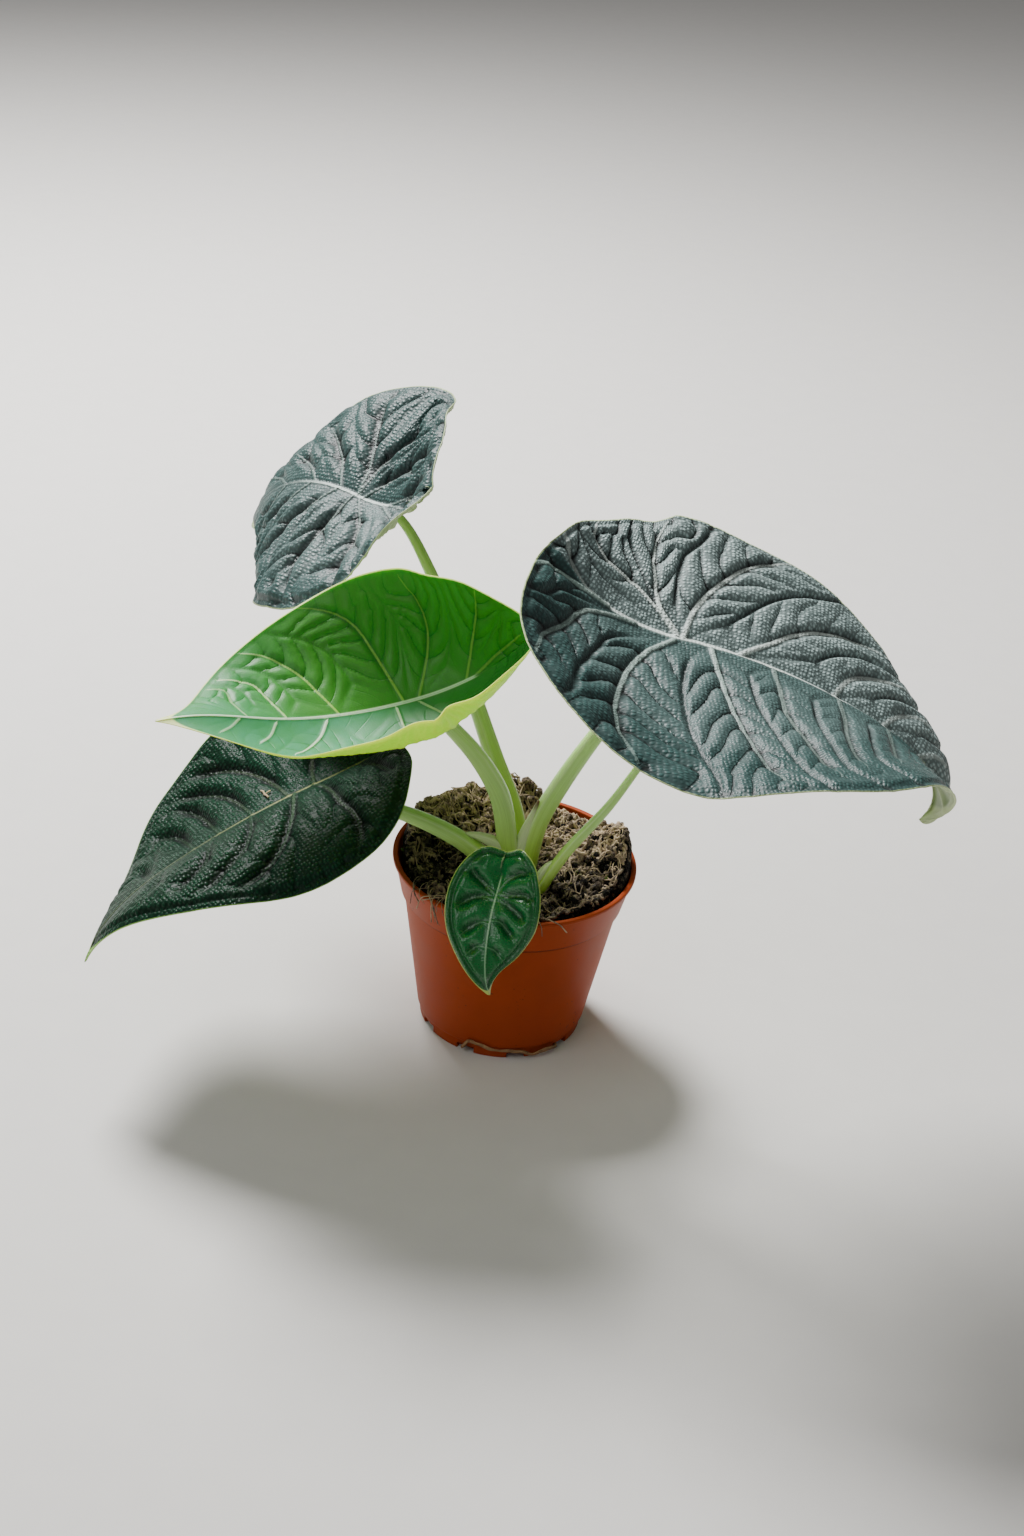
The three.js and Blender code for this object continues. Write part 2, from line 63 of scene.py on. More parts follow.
# Blades, in millimetres, degrees and shares of the length. A pair is for the left and right halves.
# at is the petiole's junction, and heading, rise and bank turn the blade there. width is the half width, back the
# reach behind the junction, and lop, egg, taper and notch shape the outline. droop bends the blade ahead of the
# junction, near the tip and behind it. fold and curl bend each half, tip_fold and tip_curl add to them from
# tip_ramp's start on, and hook bends the tip itself.
# relief is the height of the pillows between the veins, and puffed the share of it that a half has. valley is the
# width of a vein's groove, groove that of the seams and cross grooves, ladder the spacing of the cross grooves,
# seam and cross how deep those are, and even_tip how much of the cross grooves fades near the tip. wave is the
# height of the margin's waves, vein the half width of a vein, and calm the width of the flatter rim.
# bloom is the pale wax on a half, tip_bloom how much more lies ahead of tip_from, rim_shade how much painted shade
# darkens the bloom along the edge, smooth how much of the grain it fills, and midrib_end how pale the midrib is at
# its ends.
PLAIN_BLADE = dict(
    lop=0, egg=0, tip_curl=(0, 0), tip_fold=0, hook=0, tip_ramp=(0.6, 2), thick=0.9, puffed=(1, 1), groove=1.3,
    tip_bloom=0, tip_from=(0, 0),
)
BLADES = {
    "right": PLAIN_BLADE | dict(
        at=(55.4, -5, 193.7), heading=6.1, rise=-11.3, bank=-19.1,
        length=145.1, width=0.669, lop=-0.228, back=0.505, egg=-0.007, taper=0.57, notch=0.045,
        droop=(28.7, 82.6, -99.7), fold=(44.9, -28.8), curl=(-19, 14.9), twist=-18.7, fold_twist=7.5,
        tip_curl=(-339.6, -4.5), tip_fold=24.7, hook=80, tip_ramp=(0.63, 1.5),
        relief=4.2, puffed=(1, 0.9), valley=2.3, ladder=15, seam=1, cross=0.85, even_tip=0.8,
        wave=1.1, vein=1.25, calm=6, rows=280, columns=158,
        # Painted light and shade: the far half's bloom is raised and the near half's lowered, with its rim darkened
        # most, to stand for how light falls on the two halves
        bloom=(0.95, 0.14), rim_shade=(0.1, 0.9), smooth=(0.1, 0.4), midrib_end=0.95,
    ),
    "back": PLAIN_BLADE | dict(
        at=(-82.3, 77.5, 206.4), heading=139, rise=2, bank=-11,
        length=97.5, width=0.68, back=0.63, taper=0.84, notch=0.05,
        droop=(61, 20, -94), fold=(-18, 31), curl=(-26, -20), twist=-11, fold_twist=-22,
        relief=5.2, valley=2.6, ladder=15, seam=0.4, cross=0.8, even_tip=0.2,
        wave=0.8, vein=0.6, calm=6, rows=230, columns=128,
        bloom=(0.2, 0), tip_bloom=-0.1, rim_shade=(0.3, 0.1), smooth=(0.35, 0.35), midrib_end=0.15,
    ),
    "centre": PLAIN_BLADE | dict(
        at=(-44.8, -15, 160.8), heading=-164, rise=-16.2, bank=-35.5,
        length=115, width=0.51, back=0.584, egg=-0.02, taper=0.96, notch=0.03,
        droop=(-68.8, 141, -121.7), fold=(6, 7), curl=(203, 74), twist=32.8, fold_twist=-35.4, tip_curl=(343, 15),
        thick=0.8, relief=2, puffed=(0.3, 1), valley=1.4, ladder=9, groove=0.9, seam=0.7, cross=0.9, even_tip=0.3,
        wave=0.8, vein=0.6, calm=11, rows=230, columns=110,
        # Painted sheen: the minty tip_bloom stands for light reflected off the young leaf's near half and tip
        bloom=(0.2, 0.03), tip_bloom=0.72, tip_from=(-0.15, 0.3), rim_shade=(0, 0), smooth=(0.8, 0.7), midrib_end=0.9,
    ),
    "left": PLAIN_BLADE | dict(
        at=(-86, -10, 111.9), heading=-148.9, rise=-15.7, bank=22.9,
        length=121, width=0.555, back=0.35, egg=0.25, taper=0.91, notch=0.04,
        droop=(18, 77, -13), fold=(10, 16), curl=(-100, 38), twist=11, fold_twist=-21,
        relief=4.6, valley=3, ladder=16, seam=0.15, cross=0.45, even_tip=0.1,
        wave=1.0, vein=0.9, calm=5, rows=250, columns=140,
        bloom=(0.06, 0.14), tip_bloom=-0.1, rim_shade=(0.6, 0.2), smooth=(0.1, 0.1), midrib_end=0.6,
    ),
    "front": PLAIN_BLADE | dict(
        at=(-6.2, -59, 97.4), heading=-102.7, rise=-33.2, bank=22.1,
        length=41, width=0.496, back=0.59, egg=0.1, taper=0.855, notch=0.1,
        droop=(38, 79, -20), fold=(-4.7, 20.5), curl=(-5, 21), twist=-29.3, fold_twist=-45,
        thick=0.8, relief=4.4, valley=2.4, ladder=12, groove=1.1, seam=0.1, cross=0.2, even_tip=0.3,
        wave=0.3, vein=0.3, calm=2, rows=120, columns=80,
        bloom=(0.4, 0.4), rim_shade=(0.3, 0.3), smooth=(0.4, 0.4), midrib_end=0.7,
    ),
    "hidden": PLAIN_BLADE | dict(
        at=(58.8, -14, 160), heading=-20, rise=-20, bank=0,
        length=30, width=0.52, back=0.5, egg=0.1, taper=0.86, notch=0.08,
        droop=(25, 30, 15), fold=(8, 8), curl=(-10, -10), twist=0, fold_twist=0,
        thick=0.8, relief=0.7, valley=1.2, ladder=4.5, groove=0.6, seam=0.3, cross=0.3, even_tip=0.3,
        wave=0.3, vein=0.3, calm=2.5, rows=60, columns=40,
        bloom=(0.4, 0.4), rim_shade=(0.3, 0.3), smooth=(0.4, 0.4), midrib_end=0.5,
    ),
}
# Angle round the junction, in radians, that the notch spreads over
NOTCH_SPREAD = 0.35
# Shares of the length: how wide the crease along the midrib is, where the midrib starts, and where the margin's
# colour spreads over the tip
CREASE = 0.02
MIDRIB_START = -0.22
TIP_MARGIN = (0.86, 0.97)
# Distance from a vein in millimetres where its cross grooves stop bending
BOW_END = 8
# Thickness under a rib, as a share of the blade's
RIB_THICKNESS = 2.2
# Side in millimetres of the square that the leaves' flat UV map shows
FLAT_SIDE = 200
# Steps of the outline's two sides, of the whole rim, of a bend along the midrib, of a curve between two points and
# of a stalk's curve
OUTLINE_STEPS, RIM_STEPS, BEND_STEPS, SPLINE_STEPS, STALK_STEPS = 720, 240, 24, 40, 400
LEAF_MARKINGS = (
    "ridge", "rung", "cut_near", "side_vein", "vein_near", "midrib", "midrib_near", "rim_gap", "bloom", "smooth",
)

# Side veins of each blade: how pale each one is, and its line of (ahead, left) points in shares of the length
VEINS = {
    "right": [
        (0.5, [(-0.22, 0.005), (-0.3, 0.01), (-0.36, 0.03), (-0.42, 0.06), (-0.47, 0.08)]),
        (0.9, [(0, 0.01), (-0.06, 0.08), (-0.16, 0.14), (-0.26, 0.16), (-0.33, 0.18), (-0.38, 0.22),
               (-0.38, 0.28)]),
        (0.9, [(0, 0.02), (-0.06, 0.1), (-0.08, 0.17), (-0.1, 0.26), (-0.1, 0.36), (-0.05, 0.45)]),
        (0.8, [(0.02, 0.01), (0.05, 0.12), (0.09, 0.2), (0.14, 0.28), (0.21, 0.38), (0.3, 0.46), (0.36, 0.5)]),
        (0.8, [(0.19, 0.01), (0.27, 0.08), (0.34, 0.16), (0.42, 0.23), (0.51, 0.28), (0.58, 0.3), (0.65, 0.3)]),
        (0.5, [(0.49, 0.01), (0.53, 0.1), (0.59, 0.16), (0.66, 0.2), (0.71, 0.22)]),
        (0.4, [(0.66, 0.01), (0.7, 0.08), (0.76, 0.14), (0.8, 0.15)]),
        (0.3, [(0.8, 0.01), (0.84, 0.06), (0.87, 0.08)]),
        (0.9, [(-0.22, -0.005), (-0.32, -0.02), (-0.42, -0.06), (-0.46, -0.15)]),
        (0.8, [(-0.13, -0.01), (-0.2, -0.03), (-0.28, -0.1), (-0.31, -0.22), (-0.35, -0.36), (-0.35, -0.46)]),
        (1, [(-0.01, -0.02), (-0.08, -0.1), (-0.13, -0.22), (-0.15, -0.33), (-0.16, -0.44), (-0.15, -0.56),
             (-0.12, -0.68)]),
        (1, [(0.1, -0.02), (0.12, -0.17), (0.13, -0.27), (0.15, -0.4), (0.17, -0.51), (0.19, -0.63),
             (0.23, -0.75)]),
        (0.55, [(0.29, -0.02), (0.3, -0.14), (0.3, -0.27), (0.33, -0.39), (0.35, -0.52), (0.38, -0.66)]),
        (0.4, [(0.5, -0.02), (0.5, -0.14), (0.48, -0.27), (0.47, -0.42), (0.47, -0.55)]),
        (0.35, [(0.67, -0.02), (0.66, -0.13), (0.63, -0.28), (0.6, -0.42)]),
        (0.3, [(0.82, -0.02), (0.8, -0.12), (0.77, -0.22)]),
    ],
    "centre": [
        (0.6, [(0, -0.01), (-0.04, -0.08), (-0.09, -0.17), (-0.12, -0.25), (-0.12, -0.34), (-0.08, -0.43)]),
        (0.75, [(0.06, -0.01), (0.09, -0.13), (0.12, -0.23), (0.15, -0.31), (0.21, -0.38), (0.32, -0.44),
                (0.38, -0.45)]),
        (0.95, [(0.3, -0.01), (0.34, -0.11), (0.37, -0.18), (0.42, -0.25), (0.47, -0.3), (0.53, -0.33)]),
        (0.95, [(0.5, -0.01), (0.52, -0.11), (0.54, -0.19), (0.59, -0.22), (0.64, -0.24)]),
        (0.5, [(0.66, -0.01), (0.66, -0.1), (0.65, -0.18), (0.7, -0.2)]),
        (0.5, [(-0.22, -0.005), (-0.33, -0.03), (-0.47, -0.03)]),
        (0.6, [(-0.18, -0.005), (-0.22, -0.06), (-0.28, -0.13), (-0.37, -0.2), (-0.45, -0.25)]),
        (0.75, [(0, 0.02), (-0.06, 0.1), (-0.1, 0.2), (-0.1, 0.32), (-0.04, 0.42)]),
        (0.95, [(0.09, 0.02), (0.09, 0.09), (0.1, 0.18), (0.15, 0.3), (0.24, 0.4)]),
        (0.9, [(0.35, 0.02), (0.4, 0.09), (0.5, 0.17), (0.58, 0.22)]),
        (0.7, [(0.55, 0.02), (0.6, 0.08), (0.67, 0.13)]),
        (0.5, [(0.7, 0.01), (0.75, 0.05), (0.8, 0.08)]),
    ],
    "back": [
        (0.5, [(0.01, -0.01), (0.04, -0.11), (0.14, -0.29), (0.22, -0.43), (0.25, -0.55)]),
        (0.5, [(0.12, -0.01), (0.22, -0.13), (0.36, -0.25), (0.48, -0.35)]),
        (0.4, [(0.3, -0.01), (0.42, -0.1), (0.6, -0.19)]),
        (0.3, [(0.55, -0.01), (0.66, -0.08), (0.78, -0.12)]),
        (0.4, [(0, -0.01), (0.01, -0.17), (-0.04, -0.32), (-0.12, -0.46)]),
        (0.4, [(-0.03, -0.01), (-0.13, -0.13), (-0.28, -0.24), (-0.4, -0.32)]),
        (0.3, [(-0.2, -0.005), (-0.32, -0.04), (-0.5, -0.12)]),
        (0.5, [(0.02, 0.01), (0.03, 0.19), (0.03, 0.37), (0.08, 0.53)]),
        (0.5, [(0.13, 0.01), (0.24, 0.15), (0.36, 0.31), (0.42, 0.44)]),
        (0.4, [(0.32, 0.01), (0.47, 0.13), (0.6, 0.25)]),
        (0.3, [(0.52, 0.01), (0.64, 0.1), (0.76, 0.16)]),
        (0.4, [(-0.02, 0.01), (-0.15, 0.16), (-0.22, 0.33), (-0.2, 0.5)]),
        (0.4, [(-0.18, 0.01), (-0.32, 0.1), (-0.46, 0.24)]),
        (0.3, [(-0.22, 0.005), (-0.36, 0.03), (-0.52, 0.06)]),
    ],
    "left": [
        (0.35, [(0, -0.01), (-0.03, -0.1), (-0.07, -0.19), (-0.1, -0.3)]),
        (0.3, [(0.1, -0.01), (0.11, -0.17), (0.16, -0.31), (0.22, -0.39), (0.29, -0.44), (0.36, -0.46)]),
        (0.25, [(0.24, -0.01), (0.25, -0.2), (0.3, -0.31), (0.37, -0.38), (0.45, -0.4)]),
        (0.2, [(0.37, -0.01), (0.37, -0.23), (0.41, -0.34), (0.48, -0.38)]),
        (0.2, [(0.47, -0.01), (0.48, -0.22), (0.53, -0.28), (0.59, -0.29)]),
        (0.1, [(0.65, -0.01), (0.65, -0.15), (0.69, -0.21)]),
        (0.4, [(0.01, 0.01), (-0.01, 0.14), (0, 0.26), (-0.01, 0.37), (0.02, 0.47), (0.07, 0.54)]),
        (0.55, [(0.08, 0.01), (0.12, 0.12), (0.18, 0.24), (0.27, 0.34), (0.36, 0.38), (0.43, 0.39),
                (0.5, 0.4)]),
        (0.3, [(0.25, 0.01), (0.29, 0.13), (0.36, 0.23), (0.45, 0.27), (0.53, 0.29), (0.62, 0.3)]),
        (0.25, [(0.4, 0.01), (0.49, 0.16), (0.58, 0.2), (0.67, 0.21)]),
        (0.2, [(0.6, 0.01), (0.66, 0.09), (0.74, 0.13)]),
        (0.3, [(-0.14, 0.01), (-0.19, 0.14), (-0.2, 0.24), (-0.22, 0.35)]),
    ],
    "front": [
        (0.35, [(0.03, -0.01), (0.02, -0.17), (0.1, -0.3), (0.2, -0.37)]),
        (0.35, [(0.28, -0.01), (0.27, -0.08), (0.34, -0.2), (0.44, -0.28)]),
        (0.35, [(0.51, -0.01), (0.51, -0.1), (0.6, -0.19)]),
        (0.35, [(0.01, 0.01), (0.07, 0.15), (0.16, 0.29), (0.25, 0.35)]),
        (0.35, [(0.25, 0.01), (0.24, 0.09), (0.33, 0.2), (0.41, 0.29)]),
        (0.35, [(0.51, 0.01), (0.53, 0.09), (0.62, 0.17)]),
        (0.35, [(-0.03, -0.02), (-0.11, -0.14), (-0.2, -0.28), (-0.29, -0.33)]),
        (0.35, [(-0.07, 0.01), (-0.2, 0.09), (-0.26, 0.23), (-0.24, 0.38)]),
        (0.35, [(-0.03, 0.01), (-0.04, 0.16), (-0.04, 0.32), (0.05, 0.44)]),
    ],
}

# Side veins of the blades that have no lines of their own, the same on both halves: where the vein
# leaves the midrib, how far it reaches out, and how it leans and then sweeps towards the tip
PLAIN_PALENESS = 0.3
PLAIN_VEINS = [
    (-0.22, 0.08, -0.24, 0), (-0.22, 0.26, -0.22, 0.08), (0, 0.36, -0.53, 0.14), (0, 0.54, -0.42, 0.34),
    (0.05, 0.5, 0.1, 0.26), (0.3, 0.36, -0.03, 0.36), (0.5, 0.27, 0.02, 0.2), (0.66, 0.17, 0.05, 0.1),
    (0.8, 0.09, 0.04, 0.04),
]

# Petioles: points from the crown to the blade, in millimetres, and the radius at the foot, middle and top
PETIOLES = {
    "centre": dict(
        route=[(0.5, -9, 66), (-1.5, -9, 84), (-4, -9, 95.3), (-8.8, -10.5, 116.3), (-18.5, -12, 133.4),
               (-30.6, -13.4, 147.4), (-44.8, -15, 160.8)],
        radius=(4.9, 4.4, 2.9),
    ),
    "right": dict(
        route=[(4.5, -8.6, 66), (5.2, -8.8, 86), (8.3, -8.3, 104.6), (15.4, -7.7, 122.2), (26.2, -6.9, 144),
               (41.2, -5.8, 170), (55.4, -5, 193.7)],
        radius=(5, 3.9, 2.3),
    ),
    "back": dict(
        route=[(1.5, 0, 66), (0.5, 2.5, 84), (-3.2, 8, 99), (-13.6, 18, 119.3), (-34.7, 43, 159.7),
               (-48.5, 61, 182.6), (-65.5, 78, 199.5), (-82.3, 77.5, 206.4)],
        radius=(4.7, 3.4, 1.8),
    ),
    "left": dict(
        route=[(-4, -13, 66), (-7, -12.5, 80), (-21.6, -11.6, 92.3), (-39.6, -11.1, 100.9), (-60, -10.7, 106.5),
               (-86, -10, 111.9)],
        radius=(4.6, 3.7, 2.3),
    ),
    "front": dict(
        route=[(0, -14, 66), (-1, -18, 82), (-3, -30, 94), (-5, -46, 100), (-6.2, -59, 97.4)],
        radius=(3, 2.1, 1.3), stop=0.92,
    ),
    "thin": dict(
        route=[(9.5, -21, 68), (11.5, -24, 80), (20.1, -21.9, 97.6), (36.6, -18.8, 121.9), (48.8, -16, 144),
               (58.8, -14, 160)],
        radius=(2.7, 2.2, 1.3),
    ),
}
SHEATHS = {
    "new": dict(
        route=[(2.5, -6, 66), (2, -8, 84), (3.2, -9, 94), (4.6, -9.6, 103), (6.2, -9.8, 110), (7.4, -10, 115.5)],
        radius=(4.2, 4.5, 0.5),
    ),
    "left": dict(
        route=[(-4, -9, 84), (-7.2, -10, 91.5), (-15.3, -10, 95.2), (-24.4, -10.4, 96)], radius=(3, 2.6, 0.6),
    ),
    "thin": dict(
        route=[(10.5, -23, 80), (11.5, -22.6, 86.5), (14, -22, 91.6), (17.6, -21, 94.6)], radius=(2.4, 2.1, 0.5),
    ),
}

# Angle from a petiole's channel to its raised edges, in radians
EDGE_TURN = 0.85

# Pot, in millimetres: the step between its wall and its rim band, the radii below and above it, the brow where the
# band meets the lip, and the top of its floor
STEP_HEIGHT, UNDER_STEP, OVER_STEP = 64, 46.7, 48.2
BROW_RADIUS, BROW_HEIGHT = 51.35, 78.6
FLOOR_TOP = 1.6
# Drain notches in the foot: how many, the angle of the first and their size. Drain holes: how many, how far from
# the middle and their radius
NOTCHES, FIRST_NOTCH, NOTCH_SIZE = 10, -40, (6, 8, 6.4)
DRAINS, DRAIN_AWAY, DRAIN_RADIUS = 5, 20, 3.2

# Soil heaps: angle (degrees) and distance from the middle, height and spread (mm)
HEAPS = [(160, 44, 11, 15), (127, 43, 9, 14), (93, 46, 12, 13), (6, 47, 16, 18), (-110, 30, -3, 16)]
# Inside of the pot's wall, heights and radii in millimetres, and the soil's distance from it
WALL_HEIGHTS, WALL_RADII, WALL_GAP = (7, 64.5, 81), (36.9, 46.8, 51.5), 1.9
# Soil bed: rings on its face and down its side, steps round it, the height where its face meets the wall, the share
# of the radius there that the face fills, and the height of the side's foot
FACE_RINGS, SIDE_RINGS, BED_STEPS = 110, 12, 330
FACE_HEIGHT, FACE_SHARE, SIDE_FOOT = 78, 0.985, 40
# The face falls by EDGE_DROP over the last of its radius
EDGE_START, EDGE_WIDTH, EDGE_DROP = 0.93, 0.07, 2.5
# Share of the radius that loose bits lie in
STREWN = 0.97

# Root along the foot of the pot
ROOT = [
    (-13.6, -31.8, 1.6), (-14.8, -35.4, 3.4), (-12, -36.5, 7.6), (-8, -37.6, 7.4), (-1.8, -37.9, 6),
    (5, -37.6, 5.4), (11, -36.2, 4.4), (15.4, -34.2, 2.2), (20.4, -31.9, 3.6), (25.2, -28.3, 3.2),
    (25.6, -24, 1.8),
]
ROOT_ROWS = 90

# A scrap of coir on the dark leaf
SCRAP = [(-109, -8.6, 106.2), (-107.8, -10.2, 106.9), (-107, -12, 106.6), (-106, -13.4, 107.2), (-105, -15, 107.3)]
SCRAP_FORK = [(-106.8, -12.2, 106.8), (-105.8, -11.4, 107.6), (-104.9, -10.2, 107.6)]
MOSS_SPOTS = ((26.3, -12.8), (37, -14.8), (20, 8), (-45, -5.1))

# Lights and camera, in metres and degrees. The camera looks along Y, tipped down and rolled as in the photograph
LIGHT_AIM = Vector((0, 0, 0.12))
LIGHTS = {
    "key": dict(size=0.6, place=Vector((-0.62, 0.9, 1.3))),
    "fill": dict(size=1, place=Vector((-0.8, -0.9, 1.3))),
}
WORLD_LIGHT = 0.2
CAMERA_PLACE, CAMERA_DOWN, CAMERA_ROLL = (-0.005, -0.7765, 0.5689), 29.8, 5.62
LENS, SENSOR = 50, 36
FLOOR_HALF = 15


def linear(code):
    """An sRGB hex colour as linear RGBA."""
    parts = [int(code[i:i + 2], 16) / 255 for i in (1, 3, 5)]
    return (*(p / 12.92 if p <= 0.04045 else ((p + 0.055) / 1.055) ** 2.4 for p in parts), 1)


def colour_property(name, description, code):
    return FloatVectorProperty(
        name=name, description=description, subtype="COLOR", size=4, min=0, max=1, default=linear(code),
    )


def connect(node, inputs):
    """Gives a node's inputs their values, or links another node's output to them."""
    for name, value in (inputs if isinstance(inputs, dict) else dict(enumerate(inputs))).items():
        if isinstance(value, bpy.types.NodeSocket):
            node.id_data.links.new(value, node.inputs[name])
        else:
            node.inputs[name].default_value = value


def add_node(tree, kind, inputs=(), output=0, **settings):
    """Adds a node and returns an output of it; its inputs come in their order, or by name or number."""
    node = tree.nodes.new("ShaderNode" + kind)
    for name, value in settings.items():
        setattr(node, name, value)
    connect(node, inputs)
    return node.outputs[output]


def new_material(name):
    """A material, the function that adds nodes to it, and its shader."""
    material = bpy.data.materials.new(name)
    material.use_nodes = True
    return material, partial(add_node, material.node_tree), material.node_tree.nodes["Principled BSDF"]


def new_object(bm, name, materials=()):
    """Makes a bmesh an object in the scene."""
    mesh = bpy.data.meshes.new(name)
    for material in materials:
        mesh.materials.append(material)
    bm.to_mesh(mesh)
    bm.free()
    thing = bpy.data.objects.new(name, mesh)
    bpy.context.scene.collection.objects.link(thing)
    return thing


def finish_piece(bm, name, materials, replaced=()):
    """Makes a bmesh a piece that rides on the frame's one body."""
    piece = new_object(bm, name, materials)
    piece.data.shade_smooth()
    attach(piece, "root")
    if replaced:
        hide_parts(*replaced)
    return piece


def polar(away, turn):
    """Where a distance and an angle in radians lead."""
    return away * math.cos(turn), away * math.sin(turn)


def smooth_route(points, count):
    """Points spaced evenly along a smooth curve through the given ones."""
    points = np.array(points, float)
    ends = np.vstack([2 * points[0] - points[1], points, 2 * points[-1] - points[-2]])
    gaps = np.sqrt(np.linalg.norm(np.diff(ends, axis=0), axis=1))
    dense = []
    for i in range(1, len(ends) - 2):
        before, here, after = gaps[i - 1:i + 2]
        start = (ends[i] - ends[i - 1]) / before - (ends[i + 1] - ends[i - 1]) / (before + here)
        start = (start + (ends[i + 1] - ends[i]) / here) * here
        stop = (ends[i + 1] - ends[i]) / here - (ends[i + 2] - ends[i]) / (here + after)
        stop = (stop + (ends[i + 2] - ends[i + 1]) / after) * here
        t = np.linspace(0, 1, SPLINE_STEPS)[:, None]
        dense.append(
            (2 * t ** 3 - 3 * t ** 2 + 1) * ends[i] + (t ** 3 - 2 * t ** 2 + t) * start
            + (3 * t ** 2 - 2 * t ** 3) * ends[i + 1] + (t ** 3 - t ** 2) * stop
        )
    dense = np.vstack(dense)
    walked = np.concatenate([[0], np.cumsum(np.linalg.norm(np.diff(dense, axis=0), axis=1))])
    goals = np.linspace(0, walked[-1], count)
    return np.stack([np.interp(goals, walked, column) for column in dense.T], axis=1)


def add_unit_tube(bm, rows, sides):
    """Adds a closed tube of radius 1 whose rows stand at whole numbers along X."""
    made = bmesh.ops.create_grid(bm, x_segments=rows + 1, y_segments=sides, size=0.5)["verts"]
    for vert in made:
        row = round((vert.co.x + 0.5) * (rows + 1))
        turn = (vert.co.y + 0.5) * math.tau
        radius = 1 if 0 < row <= rows else 0
        vert.co = (row, radius * math.cos(turn), radius * math.sin(turn))
    bmesh.ops.remove_doubles(bm, verts=made, dist=1e-4)


def lay_tube(verts, unit, route, radii, face, section=None):
    """Lays the vertices of a unit tube along a route; face is the way that its angle 0 looks."""
    along = np.gradient(route, axis=0)
    along /= np.linalg.norm(along, axis=1)[:, None]
    centres = np.vstack([route[0] - along[0] * radii[0] / 2, route, route[-1] + along[-1] * radii[-1] / 2])
    along = np.vstack([along[0], along, along[-1]])
    front = np.array(face) - along * (along @ np.array(face))[:, None]
    front /= np.linalg.norm(front, axis=1)[:, None]
    side = np.cross(along, front)
    half = np.concatenate([[radii[0]], radii, [radii[-1]]])
    row = np.rint(unit[:, 0]).astype(int)
    size = half[row]
    if section:
        size = size * section(np.arctan2(unit[:, 2], unit[:, 1]), np.clip((row - 1) / (len(route) - 1), 0, 1))
    places = centres[row] + front[row] * (size * unit[:, 1])[:, None] + side[row] * (size * unit[:, 2])[:, None]
    for vert, place in zip(verts, places * MM):
        vert.co = place


def repeat(bm, count):
    """Copies what a bmesh holds until there are count of it, and returns the vertices of each."""
    groups = [bm.verts[:]]
    while len(groups) < count:
        copies = bmesh.ops.duplicate(bm, geom=bm.verts[:] + bm.edges[:] + bm.faces[:])["vert_map"]
        groups += [[copies[vert] for vert in group] for group in groups]
    spare = [vert for group in groups[count:] for vert in group]
    bmesh.ops.delete(bm, geom=spare, context="VERTS")
    return groups[:count]


def new_toned():
    """An empty bmesh, and the tone that the soil's and the roots' materials read."""
    bm = bmesh.new()
    return bm, bm.verts.layers.float.new("tone")


def new_balls(count):
    """Small balls in one bmesh: the bmesh, its tone, a ball of radius 1, and the vertices of each."""
    bm, tone = new_toned()
    bmesh.ops.create_uvsphere(bm, u_segments=6, v_segments=4, radius=1)
    ball = [v.co.copy() for v in bm.verts]
    return bm, tone, ball, repeat(bm, count)


def lay_strands(name, material, sides, strands, replaced=()):
    """Makes one piece of strands with equally many rows; each has its tone, its route and its radii."""
    bm, tone = new_toned()
    add_unit_tube(bm, len(strands[0][1]), sides)
    unit = np.array([v.co for v in bm.verts])
    for verts, (shade, route, radii) in zip(repeat(bm, len(strands)), strands):
        for vert in verts:
            vert[tone] = shade
        lay_tube(verts, unit, route, radii, (0.1, 0.2, 1))
    finish_piece(bm, name, [material], replaced)


def outline(blade, turn):
    """Flat outline of a blade at an angle round it, in shares of its length."""
    centre = (1 - blade["back"]) / 2
    half = (1 + blade["back"]) / 2
    dip = blade["notch"] * np.exp(-(((np.pi - np.abs(turn)) / NOTCH_SPREAD) ** 2))
    width = blade["width"] * (1 + blade["lop"] * np.sign(turn))
    taper = 1 - blade["taper"] * np.cos(turn / 2) ** 8
    return centre + half * np.cos(turn) + dip, width * np.sin(turn) * (1 - blade["egg"] * np.cos(turn)) * taper


def flat_places(blade, walk, across):
    """Places on the flat blade: walk runs from the notch to the tip, across from the right edge to the left."""
    turns = np.linspace(np.pi, 0, OUTLINE_STEPS + 1)
    edges = []
    for side in (1, -1):
        x, y = outline(blade, turns * side)
        walked = np.concatenate([[0], np.cumsum(np.hypot(np.diff(x), np.diff(y)))])
        edges.append([np.interp(walk, walked / walked[-1], line) for line in (x, y)])
    edge_x, edge_y = np.where(across > 0, edges[0], edges[1])
    middle = blade["notch"] - blade["back"] + walk * (1 + blade["back"] - blade["notch"])
    x = middle + (edge_x - middle) * across ** 2
    return x * blade["length"], np.abs(across) * edge_y * blade["length"]


def by_half(pair, left):
    """A value that differs on a blade's halves; left is 0 on the right half and 1 on the left one."""
    return pair[1] + (pair[0] - pair[1]) * left


